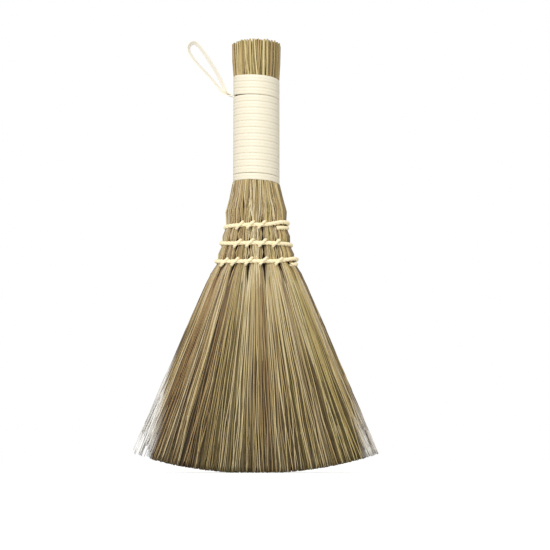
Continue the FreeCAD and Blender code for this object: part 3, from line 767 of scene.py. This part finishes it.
def sway(random, heights, start, amount):
    """Sideways wander that grows from the start of a bristle to its tip."""
    count = len(heights)
    drop = rising(start - heights, 0.0, start)
    phase = random.uniform(0, 2 * math.pi, (count, 1))
    waves = random.uniform(1.2, 3.2, (count, 1))
    return amount * drop * np.sin(phase + waves * drop * 2 * math.pi)


def neck_heights(bundle, ends):
    """Heights of the points of the neck's stalks: down through the rows, then on to their ends."""
    fan = bundle.fan
    upper, middle, lower = bundle.rows
    pillow = fan.row_spacing / 2
    fixed = [
        bundle.strip_bottom + 6 * MM,
        bundle.strip_bottom + 0.8 * MM,
        bundle.strip_bottom - 1.0 * MM,
        (bundle.strip_bottom + fan.neck) / 2,
        fan.neck,
        upper,
        upper - pillow,
        middle,
        middle - pillow,
        lower,
        fan.spread,
        LOOSE_HEIGHT,
    ]
    loose = LOOSE_HEIGHT + (ends - LOOSE_HEIGHT)[:, None] * np.array([0.35, 0.7, 1.0])
    return np.column_stack([np.tile(fixed, (len(ends), 1)), loose])


def neck_stalks(bundle, random):
    """Stalks that come out of the strip, go through the rows and run on into the fan."""
    fan = bundle.fan
    count = fan.stalk_count
    upper, _, lower = bundle.rows
    around = (np.arange(count) + random.uniform(0, 1, count)) / count * 2 * math.pi
    shares = np.cos(around) * 0.98
    tufts = np.searchsorted(GAP_SHARES, shares)
    depths = np.where(np.sin(around) < 0, -1.0, 1.0) * random.uniform(0.86, 1.03, count)

    # They end inside the fan, and higher up where its corners are thin
    ends = random.uniform(12, 60, count) * MM
    ends = np.maximum(ends, random.uniform(0.6, 0.9, count) * thin_top(shares))
    heights = neck_heights(bundle, ends)

    # About half of them cross their neighbours above the rows and lie over them
    furthest = np.where(some_of(random, count, CROSSING_SHARE), 0.15, 0.03)
    crossing = furthest * random.normal(0, 1, count)
    drift = crossing[:, None] * np.interp(heights, [lower, upper, bundle.strip_bottom], [0.0, 0.3, 1.0])
    drift += random.normal(0, 0.016, heights.shape)
    depths += np.sign(depths) * np.clip(np.abs(crossing) - 0.06, 0.0, 0.04)

    # They keep inside the outline, sink into the fan, fill the sides and draw in under the strip
    reach = np.interp(heights, [DEEP_HEIGHT, fan.spread], [0.92, 1.0])
    wander = np.clip(shares[:, None] + drift, -reach, reach)
    sinking = np.interp(heights, [DEEP_HEIGHT, LOOSE_HEIGHT, fan.spread], [0.22, 0.10, 0.0])
    at_side = np.abs(shares) > 0.92
    laid = np.where(at_side, random.uniform(-1.0, 1.0, count), depths)
    gathered = np.interp(heights, [fan.neck, bundle.strip_bottom], [1.0, 0.95])
    paths = bundle.lay(tufts, wander, laid[:, None] * gathered * (1 - sinking), heights)
    paths[:, :3, 2] += bundle.grip.strip_pitch * turn_share(around)[:, None]
    paths[..., 0] += sway(random, heights, fan.spread, 0.8 * MM)
    taper = np.interp(heights, [0.0, 0.1, lower, fan.neck, WRAP_LOW.z], [0.4, 0.65, 0.8, 0.95, 1.0])
    width = fan.stalk_diameter * random.uniform(0.6, 1.3, count)

    # Colours: those that lie deep or sink into the fan get painted shade
    streak_tone, streak_tint = streak_colours(shares)
    tone = NECK_TONE + 0.4 * streak_tone + 0.06 * streaky(random, shares, 4)
    tone += random.normal(0, 0.3, count)
    tint = (streak_tint + random.uniform(0, 1, count)) / 2
    painted_sunk_shade = 4 * sinking * np.clip(4 * (1 - np.abs(shares)), 0, 1)[:, None]
    depth = np.clip((1 - np.abs(depths)) * 7, 0, 1)[:, None] * 0.85 + painted_sunk_shade
    return Straw(
        tufts,
        paths,
        width[:, None] * taper,
        tone=np.clip(tone, 0, 1),
        tint=tint,
        depth=np.clip(depth, 0, 1),
        pale=np.zeros(count),
    )


def face_bristles(bundle, random):
    """Bristles on both faces of the fan, from the lower row to the tips."""
    fan = bundle.fan
    count = fan.bristle_count
    order = np.arange(count)
    outermost = 0.99
    shares = outermost * (2 * (order + random.uniform(-8, 8, count)) / count - 1)
    shares = np.clip(shares, -outermost, outermost)
    tufts = np.searchsorted(GAP_SHARES, shares)
    sides = np.where(order % 2 == 0, -1.0, 1.0)

    # Every eleventh bristle lies on top, and the others are sunk between those and get painted shade
    on_top = order % 11 == 0
    sunk = np.where(on_top, random.uniform(0.0, 0.15, count), random.uniform(0.38, 1.0, count))
    depths = sides * (1.02 - 0.18 * sunk)
    start = bundle.rows[2] + random.uniform(-0.5, 0.5, count) * MM
    return bristles(bundle, random, shares, tufts, depths, start, sunk)


def inner_bristles(bundle, random):
    """Bristles inside the fan, which close it towards the tips."""
    fan = bundle.fan
    count = fan.inner_count
    shares = np.sin(random.uniform(-1.4, 1.4, count))
    tufts = np.searchsorted(GAP_SHARES, shares)
    depths = random.uniform(-0.85, 0.85, count)
    start = np.full(count, bundle.rows[2] - 2 * MM)
    # Painted shade on the inner bristles, less at the sides of the fan where they show
    sunk = np.interp(np.abs(shares), [0.88, 0.96], [0.85, 0.2])
    return bristles(bundle, random, shares, tufts, depths, start, sunk)


def thin_top(shares):
    """Height up to which the straw is thin and bleached: only at the two corners of the fan."""
    left = LEFT_CORNER_HEIGHT * rising(-shares, LEFT_CORNER_SHARE, 1.0)
    right = RIGHT_CORNER_HEIGHT * rising(shares, RIGHT_CORNER_SHARE, 1.0)
    return left + right


def bristles(bundle, random, shares, tufts, depths, start, sunk):
    """Fine straw from its start to the trimmed tips, gathered a little into locks."""
    fan = bundle.fan
    lower = bundle.rows[2]
    count = len(shares)

    # Each is drawn to the nearest lock, and many stray from it
    locks = np.sort(random.uniform(-1, 1, LOCK_COUNT))
    in_lock = np.argmin(np.abs(shares[:, None] - locks[None, :]), axis=1)
    pull = random.uniform(0.0, 0.6, count)
    stray = np.where(some_of(random, count, STRAY_SHARE), 0.035, 0.008)
    tip_shares = shares + (locks[in_lock] - shares) * pull + random.normal(0, 1, count) * stray
    tip_shares = np.clip(tip_shares, -0.98, 0.96)

    # Some are broken off, and most are worn short at the corners
    tips = bundle.tip_height(tip_shares)
    broken = some_of(random, count, BROKEN_SHARE)
    tips += np.where(broken, random.uniform(2, 36, count), random.uniform(0, 1.2, count)) * MM
    corner = thin_top(tip_shares)
    worn = some_of(random, count, np.where(tip_shares < 0, 0.94, 0.5))
    tips = np.where(worn, np.maximum(tips, corner * random.uniform(0.35, 0.85, count)), tips)

    # Points from the start to the tip, and how thick the straw is at each
    steps = np.array([0.0, 0.05, 0.12, 0.24, 0.40, 0.58, 0.78, 0.972, 1.0])
    taper = np.array([0.8, 0.95, 1.0, 1.0, 0.95, 0.9, 0.85, 0.75, 0.65])
    heights = start[:, None] + (tips - start)[:, None] * steps
    wander = shares[:, None] + (tip_shares - shares)[:, None] * steps ** 1.5
    paths = bundle.lay(tufts, wander, depths[:, None], heights)
    paths[..., 0] += sway(random, heights, fan.spread, 0.9 * MM)
    paths[..., 1] += sway(random, heights, fan.spread, 0.15 * MM)
    width = fan.bristle_diameter * random.uniform(0.6, 1.3, count)

    # Tone by streak, painted shade for depth, and lock, then from straw to straw and along each one
    streak_tone, streak_tint = streak_colours(shares)
    tone = FAN_TONE + streak_tone + 0.05 * streaky(random, shares, 5) - 0.36 * sunk
    tone += random.normal(0, 1, LOCK_COUNT)[in_lock] * np.interp(shares, [-0.4, 0.2], [0.22, 0.08])
    tone += random.normal(0, 0.18, count)
    # Painted light: lighter tone towards the tips, offsetting the shade on the lower fan
    painted_tip_light = np.interp(heights, [0.0, 50 * MM], [0.09, 0.0])
    tone = np.clip(tone[:, None] + painted_tip_light + random.normal(0, 0.16, heights.shape), 0, 1)
    tint = np.clip(streak_tint + random.normal(0, 0.2, count), 0, 1)

    # Bleached at the corners; painted shadow at the left tips, and painted shade where it lies deep and in
    # the gaps under a row
    painted_tip_shadow = np.interp(tip_shares, [-0.85, -0.75, -0.2, 0.1], [0.0, 0.55, 0.55, 0.0])
    bleaching = random.uniform(0.7, 1.0, count) * np.where(tip_shares < 0, 1.0, 0.9)
    pale = bleaching[:, None] * rising(corner[:, None] - heights, 0.0, 10 * MM)
    in_tuft = np.abs(shares - TUFT_MIDDLES[tufts]) / TUFT_HALVES[tufts]
    # Painted shade in the gaps between tufts under the lower row
    painted_gap_shade = rising(in_tuft, 0.72, 0.92)[:, None] * rising(heights, lower - 9 * MM, lower - 4 * MM)
    depth = 2.2 * sunk[:, None] * (1 - pale) + painted_tip_shadow[:, None] * (steps == 1.0) + painted_gap_shade
    return Straw(
        tufts, paths, width[:, None] * taper, tone=tone, tint=tint, depth=np.clip(depth, 0, 1), pale=pale
    )


class BROOM_OT_straw(bpy.types.Operator):
    """Lay the straw of every tuft, from the strip to the trimmed tips"""

    bl_idname = "broom.straw"
    bl_label = "Lay straw"

    def execute(self, context):
        bundle = Bundle(context)
        random = np.random.default_rng(context.scene.broom_fan.seed)
        batches = {
            "stalks": neck_stalks(bundle, random),
            "bristles": face_bristles(bundle, random),
            "inner_bristles": inner_bristles(bundle, random),
        }
        for number, tuft in enumerate(TUFTS):
            for name, batch in batches.items():
                paths, thicknesses, marks = batch.of_tuft(number)
                if not len(paths):
                    continue
                mesh = tube_mesh(f"{tuft}_{name}", paths, thicknesses, 4, marks)
                piece = add_piece(context, mesh.name, mesh, "dried_grass_bristles")
                if name == "stalks":
                    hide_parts(tuft)
        return {"FINISHED"}


class BROOM_OT_packed_straw(bpy.types.Operator):
    """Make the packed straw inside the bundle, painted dark as the shade between the bristles"""

    bl_idname = "broom.packed_straw"
    bl_label = "Pack inner straw"

    def rings(self, context):
        """Height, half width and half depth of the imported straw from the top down. It thins out below."""
        bundle = Bundle(context)
        grip = context.scene.broom_grip
        inset = 1.4 * MM
        in_grip = grip.core_radius - inset
        rings = [(grip.butt_top - 4 * MM, in_grip, in_grip), (WRAP_HIGH.z, in_grip, in_grip)]
        neck = context.scene.broom_fan.neck
        heights = [bundle.strip_bottom + 5 * MM, bundle.strip_bottom, neck]
        heights += [height for height, _, _ in bundle.levels[::-1] if 0 < height < neck]
        heights += [0.09, 0.06, 0.034]
        inset_below = inset * 1.4
        for height in heights:
            fade = np.interp(height, [0.03, 0.12], [0.84, 1.0])
            half_width = bundle.half_width(height) * fade - inset_below
            half_depth = (bundle.half_depth(height) - inset_below) * fade
            rings.append((height, half_width, half_depth))
        return rings

    def execute(self, context):
        form = bmesh.new()
        loops = []
        for height, half_width, half_depth in self.rings(context):
            place = Matrix.Translation((0, 0, height)) @ Matrix.Diagonal((half_width, half_depth, 1, 1))
            made = bmesh.ops.create_circle(form, segments=32, radius=1.0, matrix=place)
            loops.append(list({edge for vertex in made["verts"] for edge in vertex.link_edges}))
        for above, below in zip(loops, loops[1:]):
            bmesh.ops.bridge_loops(form, edges=above + below)
        bmesh.ops.holes_fill(form, edges=loops[0] + loops[-1])
        bmesh.ops.recalc_face_normals(form, faces=form.faces)
        mesh = mesh_of_form("packed_straw", form)
        add_piece(context, "packed_straw", mesh, "packed_grass_painted_shade")
        return {"FINISHED"}


class BROOM_OT_butt_stalks(bpy.types.Operator):
    """Stand the cut stalk ends in the top of the grip"""

    bl_idname = "broom.butt_stalks"
    bl_label = "Stand butt stalks"

    def places(self, grip, random):
        """Radius, angle and ring of every stalk, ring by ring from the outside."""
        tightness = 0.93
        spacing = grip.stalk_diameter * tightness
        places = []
        for ring in range(int(grip.butt_radius / spacing)):
            radius = grip.butt_radius - grip.stalk_diameter / 2 - ring * spacing
            count = max(int(2 * math.pi * radius / spacing), 1)
            turns = (np.arange(count) + random.uniform(-0.25, 0.25, count) + 0.5 * (ring % 2)) / count
            places += [(radius, 2 * math.pi * turn, ring) for turn in turns]
        return np.array(places).T

    def execute(self, context):
        grip = context.scene.broom_grip
        random = np.random.default_rng(context.scene.broom_fan.seed + 1)
        radius, turn, ring = self.places(grip, random)
        count = len(radius)
        radius = radius + random.normal(0, 0.25, count) * MM
        strip_top = strip_start(grip) + grip.strip_pitch * (grip.turns - 0.5 + turn_share(turn))
        tops = grip.butt_top - random.uniform(0, 0.8, count) * MM
        heights = np.column_stack([
            strip_top - 4 * MM,
            strip_top + 0.6 * MM,
            (strip_top + grip.butt_top) / 2,
            tops,
        ])
        squeeze = np.array([0.80, 0.93, 0.98, 1.0])
        turns = turn[:, None] + random.normal(0, 0.038, (count, 4)).cumsum(axis=1)
        reach = radius[:, None] * squeeze
        paths = np.stack([reach * np.cos(turns), reach * np.sin(turns), heights], axis=-1)
        thickness = grip.stalk_diameter * random.uniform(0.65, 1.3, count)
        marks = {
            "tone": np.clip(random.normal(0.28, 0.2, count), 0, 1),
            "tint": random.uniform(0, 1, count),
            # Painted shade: the inner rings of stalks are darker
            "depth": np.clip(ring / 2, 0, 1) * 0.6,
        }
        mesh = tube_mesh("butt_stalks", paths, thickness[:, None] * np.ones(4), 6, marks)
        add_piece(context, "butt_stalks", mesh, "dried_grass_stalks")
        return {"FINISHED"}


class BROOM_OT_wrap(bpy.types.Operator):
    """Wind the flat strip round the grip"""

    bl_idname = "broom.wrap"
    bl_label = "Wind strip"

    steps_a_turn = 48

    def section(self, form, grip, height):
        """Edges of the strip's cut end behind the grip: two shallow ribs with a groove between."""
        inside = grip.core_radius + 0.05 * MM
        outside = inside + grip.strip_thickness
        half = (grip.strip_pitch - grip.strip_room) / 2
        soft = grip.strip_thickness * 0.14
        groove_half = half * 0.1
        outline = [
            (inside, -half),
            (outside - soft, -half),
            (outside, -half + soft),
            (outside, -groove_half),
            (outside - grip.strip_groove, 0.0),
            (outside, groove_half),
            (outside, half - soft),
            (outside - soft, half),
            (inside, half),
        ]
        corners = [form.verts.new((0.0, reach, height + rise)) for reach, rise in outline]
        return [form.edges.new(pair) for pair in zip(corners, corners[1:] + corners[:1])]

    def settle(self, form, grip, start):
        """The turns above the loop ride up over it on the left, and the lowest turn lies a little apart."""
        lowest_drop = 0.22 * MM
        across = form.verts.layers.float.new("across")
        for vertex in form.verts:
            angle = math.atan2(vertex.co.y, vertex.co.x)
            part = turn_share(angle)
            turn = round((vertex.co.z - start) / grip.strip_pitch - part) + part
            vertex[across] = 2 * ((vertex.co.z - start) / grip.strip_pitch - turn)
            over_loop = ((1 - math.cos(angle)) / 2) ** 8
            lift = grip.turn_gap + grip.loop_gap * over_loop
            vertex.co.z += lift * float(smooth_step((turn - grip.turns_below) / 0.25))
            vertex.co.z -= lowest_drop * float(smooth_step((1.0 - turn) / 0.2))

    def execute(self, context):
        grip = context.scene.broom_grip
        start = strip_start(grip)
        form = bmesh.new()
        edges = self.section(form, grip, start)
        bmesh.ops.contextual_create(form, geom=edges)
        spun = bmesh.ops.spin(
            form,
            geom=edges,
            cent=(0, 0, 0),
            axis=(0, 0, 1),
            dvec=(0, 0, grip.strip_pitch / self.steps_a_turn),
            angle=-2 * math.pi * grip.turns,
            steps=grip.turns * self.steps_a_turn,
            use_duplicate=False,
        )
        edges = [item for item in spun["geom_last"] if isinstance(item, bmesh.types.BMEdge)]
        bmesh.ops.contextual_create(form, geom=edges)
        self.settle(form, grip, start)
        mesh = strip_of_form("wound_strip", form)
        piece = add_piece(context, "wound_strip", mesh, "extruded_plastic_strip")
        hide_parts("handle_wrap")
        return {"FINISHED"}


# Sewing

class Row:
    """One row of stitches: its band cord and its lacing. The band's two ends are tucked in at one gap. Its
    start lies low and recovers at an angle, and its end climbs over the start between two angles, all in
    degrees from the right side. The lacing goes over the band at some of the gaps."""

    def __init__(self, name, number, tuck, starts_in_front, recovers, climbs, left_rise, laced):
        self.name = name
        self.number = number
        self.tuck = tuck
        self.starts_in_front = starts_in_front
        self.recovers = recovers
        self.climbs = climbs
        self.left_rise = left_rise
        self.laced = laced

    def seat(self, context):
        """The bundle, the cord sizes, and the height, half width and half depth of the band's line."""
        bundle = Bundle(context)
        cords = context.scene.broom_cords
        sunk_at_sides = 0.7 * MM
        clear_of_faces = 0.5 * MM
        height = bundle.rows[self.number]
        half_width = bundle.half_width(height) + cords.band_diameter / 2 - sunk_at_sides
        half_depth = bundle.half_depth(height) + cords.band_diameter / 2 + clear_of_faces
        return bundle, cords, height, half_width, half_depth

    def band_path(self, context):
        """Once round the row and over its own start."""
        bundle, cords, height, half_width, half_depth = self.seat(context)
        across = GAP_SHARES[self.tuck] * bundle.half_width(height)
        turn = math.degrees(math.acos(across / half_width))
        start = -turn if self.starts_in_front else turn
        end = 360 + turn
        tuck_angle = 8
        turns = np.linspace(start + tuck_angle, end - tuck_angle, 72)
        dropped = 1 - smooth_step((turns - start) / (self.recovers - start))
        climbed = smooth_step((turns - self.climbs[0]) / (self.climbs[1] - self.climbs[0]))
        heights = height + cords.band_climb * climbed - cords.band_drop * dropped

        # Off its row the straw is fuller, so that the band lies further out
        wider = np.interp(np.abs(heights - height), [0.0, 3 * MM], [0.0, 0.6 * MM])
        angles = np.radians(turns)
        heights = heights + self.left_rise * np.clip(-np.cos(angles), 0.0, 1.0) ** 6
        path = np.column_stack([
            (half_width + wider) * np.cos(angles),
            (half_depth + wider) * np.sin(angles),
            heights,
        ])
        inward = 5 * MM
        first, last = [(across, front - math.copysign(inward, front), up) for _, front, up in path[[0, -1]]]
        return smooth_path(np.vstack([[first], path, [last]]))

    def lacing_path(self, context):
        """Through the straw at each gap, over the band in front and back again."""
        bundle, cords, height, half_width, half_depth = self.seat(context)
        rise = (cords.band_diameter + cords.lace_diameter) / 2 * 0.85
        lean = rise * 1.15
        rise_in_front = rise * 1.1
        off_straw = 0.5 * MM
        points = []
        for gap in self.laced:
            across = GAP_SHARES[gap] * bundle.half_width(height)
            depth = half_depth * math.sqrt(1 - (across / half_width) ** 2)
            over = depth + rise
            for way in (-1, 1):
                leg = [
                    (across + way * lean, over, height + way * rise),
                    (across + way * lean, over * 0.5, height + way * rise),
                    (across + way * lean, -depth * 0.5, height + way * rise_in_front),
                    (across + way * lean, -depth - off_straw, height + way * rise_in_front),
                    (across + way * lean * 0.5, -over, height + way * rise * 0.5),
                ]
                points += leg[::-way]
        return smooth_path(points[1:-1])


def smooth_step(share):
    """A share from 0 to 1 that starts and ends gently."""
    held = np.clip(share, 0.0, 1.0)
    return held * held * (3 - 2 * held)


ROWS = (
    Row("upper", 0, tuck=4, starts_in_front=True, recovers=30, climbs=(281, 332),
        left_rise=0.0, laced=(1, 2, 3)),
    Row("middle", 1, tuck=0, starts_in_front=False, recovers=175, climbs=(482, 500),
        left_rise=1.4 * MM, laced=(1, 2, 3, 4)),
    Row("lower", 2, tuck=5, starts_in_front=True, recovers=30, climbs=(290, 345),
        left_rise=1.2 * MM, laced=(0, 1, 2, 3, 4)),
)


class BROOM_OT_sewing(bpy.types.Operator):
    """Lay the twisted band cords and sew the lacings over them"""

    bl_idname = "broom.sewing"
    bl_label = "Sew rows"

    def execute(self, context):
        cords = context.scene.broom_cords
        for row in ROWS:
            band = row.band_path(context)
            self.lay_cord(context, f"{row.name}_band", band, cords.band_diameter, f"{row.name}_band_cord")
            lacing = row.lacing_path(context)
            self.lay_cord(context, f"{row.name}_stitches", lacing, cords.lace_diameter, f"{row.name}_lacing")
        return {"FINISHED"}

    def lay_cord(self, context, name, path, diameter, node):
        mesh = twisted_cord(name, path, diameter, context.scene.broom_cords.twist_length)
        piece = add_piece(context, name, mesh, "waxed_twisted_cord")
        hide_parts(node)


def from_bend(route):
    """A smooth path through a route that is written from the loop's bend."""
    return smooth_path([LOOP_BEND + Vector((across * MM, 0, up * MM)) for across, up in route])


def strip_mesh(name, path, width, thickness, lean=0.0):
    """A flat strip along a path seen from the front: its width lies from front to back, or leans."""
    from_front = Vector((0, 1, 0))
    places = []

    # It leans along most of its length, but not at its two ends
    leans = lean * np.clip(6 - 12 * np.abs(np.linspace(-0.5, 0.5, len(path))), 0, 1)
    for point, ahead, leaning in zip(path, np.gradient(path, axis=0), leans):
        ahead = Vector(ahead).normalized()
        wide = from_front * math.cos(leaning) + ahead.cross(from_front) * math.sin(leaning)
        turned = Matrix((wide, ahead.cross(wide), ahead)).transposed().to_4x4()
        places.append(Matrix.Translation(point) @ turned)
    form = bmesh.new()
    across = form.verts.layers.float.new("across")
    corners = []
    for side, face in ((-1, -1), (1, -1), (1, 1), (-1, 1)):
        corner = form.verts.new(places[0] @ Vector((side * width / 2, face * thickness / 2, 0.0)))
        corner[across] = side
        corners.append(corner)
    end = form.faces.new(corners)
    for before, after in zip(places, places[1:]):
        keep = before is places[0]
        pulled = bmesh.ops.extrude_face_region(form, geom=[end, *end.edges], use_keep_orig=keep)
        end = next(item for item in pulled["geom"] if isinstance(item, bmesh.types.BMFace))
        bmesh.ops.transform(form, matrix=after @ before.inverted(), verts=end.verts)
    return strip_of_form(name, form)


class BROOM_OT_hang_loop(bpy.types.Operator):
    """Bend the flat strip of the hanging loop, and dress its two tails"""

    bl_idname = "broom.hang_loop"
    bl_label = "Bend hanging loop"

    def execute(self, context):
        cords = context.scene.broom_cords
        path = from_bend(LOOP_ROUTE)
        mesh = strip_mesh("hanging_loop", path, cords.loop_width, cords.loop_thickness, cords.loop_lean)
        piece = add_piece(context, "hanging_loop", mesh, "thin_plastic_strip", "loop")
        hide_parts("hang_loop")
        mesh = strip_mesh("tucked_tails", from_bend(TAIL_ROUTE), cords.loop_width, 2 * cords.loop_thickness)
        piece = add_piece(context, "tucked_tails", mesh, "thin_plastic_strip")
        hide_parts("upper_loop_tail", "lower_loop_tail")
        return {"FINISHED"}


class BROOM_OT_stage(bpy.types.Operator):
    """Set the white floor, the soft light and the camera"""

    bl_idname = "broom.stage"
    bl_label = "Set stage"

    def floor(self, context, stage):
        form = bmesh.new()
        bmesh.ops.create_grid(form, x_segments=1, y_segments=1, size=stage.floor_size / 2)
        mesh = mesh_of_form("floor", form)
        material, tree = new_material("white_paper_floor")
        is_camera = add_node(tree, "ShaderNodeLightPath").outputs["Is Camera Ray"]
        paper = add_node(tree, "ShaderNodeBsdfDiffuse", {"Color": rgba(linear("E6E6E6"))}).outputs["BSDF"]
        glow_inputs = {"Color": rgba(linear("C0C0C0")), "Strength": is_camera}
        glow = add_node(tree, "ShaderNodeEmission", glow_inputs).outputs["Emission"]
        both = add_node(tree, "ShaderNodeAddShader", {0: paper, 1: glow})
        add_node(tree, "ShaderNodeOutputMaterial", {"Surface": both.outputs["Shader"]})
        mesh.materials.append(material)
        floor = bpy.data.objects.new("floor", mesh)
        context.scene.collection.objects.link(floor)

    def sky(self, context, stage):
        world = bpy.data.worlds.new("studio")
        world.use_nodes = True
        tree = world.node_tree
        tree.nodes.clear()
        is_camera = add_node(tree, "ShaderNodeLightPath").outputs["Is Camera Ray"]
        strength = change_range(tree, is_camera, (0.0, 1.0), (stage.sky_strength, 1.0))
        white = add_node(tree, "ShaderNodeBackground", {"Color": WHITE, "Strength": strength})
        add_node(tree, "ShaderNodeOutputWorld", {"Surface": white.outputs["Background"]})
        context.scene.world = world

    def lamp(self, context, name, place, target, size, power):
        light = bpy.data.lights.new(name, "AREA")
        light.size = size
        light.energy = power
        lamp = bpy.data.objects.new(name, light)
        lamp.location = place
        lamp.rotation_euler = (Vector(target) - Vector(place)).to_track_quat("-Z", "Y").to_euler()
        context.scene.collection.objects.link(lamp)

    def camera(self, context, stage):
        camera = bpy.data.objects.new("camera", bpy.data.cameras.new("camera"))
        camera.data.lens = stage.camera_lens
        camera.data.sensor_width = 36.0
        camera.data.clip_start = 0.01
        camera.location = (stage.camera_side, -stage.camera_distance, stage.camera_height)
        camera.rotation_euler = (math.pi / 2 + stage.camera_pitch, 0, 0)
        context.scene.collection.objects.link(camera)
        context.scene.camera = camera

    def execute(self, context):
        stage = context.scene.broom_stage
        self.floor(context, stage)
        self.sky(context, stage)
        lamp_place = (-0.27, -1.07, 0.72)
        broom_middle = (0.0, 0.0, 0.13)
        self.lamp(context, "key", lamp_place, broom_middle, size=0.9, power=stage.key_power)
        self.camera(context, stage)
        context.scene.view_settings.view_transform = "Standard"
        return {"FINISHED"}


class BROOM_PT_panel(bpy.types.Panel):
    """Sizes and steps of the hand broom"""

    bl_idname = "BROOM_PT_panel"
    bl_label = "Hand broom"
    bl_space_type = "VIEW_3D"
    bl_region_type = "UI"
    bl_category = "Broom"

    def draw(self, context):
        for group in SETTINGS:
            box = self.layout.box()
            settings = getattr(context.scene, group)
            for name in settings.bl_rna.properties.keys():
                if name not in ("rna_type", "name"):
                    box.prop(settings, name)
        for operator in OPERATORS:
            self.layout.operator(operator.bl_idname)


SETTINGS = {
    "broom_grip": GripSizes,
    "broom_fan": FanSizes,
    "broom_cords": CordSizes,
    "broom_colours": BroomColours,
    "broom_stage": StageSettings,
}

OPERATORS = (
    BROOM_OT_packed_straw,
    BROOM_OT_straw,
    BROOM_OT_butt_stalks,
    BROOM_OT_wrap,
    BROOM_OT_sewing,
    BROOM_OT_hang_loop,
    BROOM_OT_stage,
)


def register():
    for settings in SETTINGS.values():
        bpy.utils.register_class(settings)
    for operator in OPERATORS:
        bpy.utils.register_class(operator)
    bpy.utils.register_class(BROOM_PT_panel)
    for name, settings in SETTINGS.items():
        setattr(bpy.types.Scene, name, bpy.props.PointerProperty(type=settings))


def unregister():
    for name in SETTINGS:
        delattr(bpy.types.Scene, name)
    bpy.utils.unregister_class(BROOM_PT_panel)
    for operator in reversed(OPERATORS):
        bpy.utils.unregister_class(operator)
    for settings in reversed(SETTINGS.values()):
        bpy.utils.unregister_class(settings)


def main():
    register()
    bpy.ops.broom.packed_straw()
    bpy.ops.broom.straw()
    bpy.ops.broom.butt_stalks()
    bpy.ops.broom.wrap()
    bpy.ops.broom.sewing()
    bpy.ops.broom.hang_loop()
    bpy.ops.broom.stage()


if __name__ == "__main__":
    main()
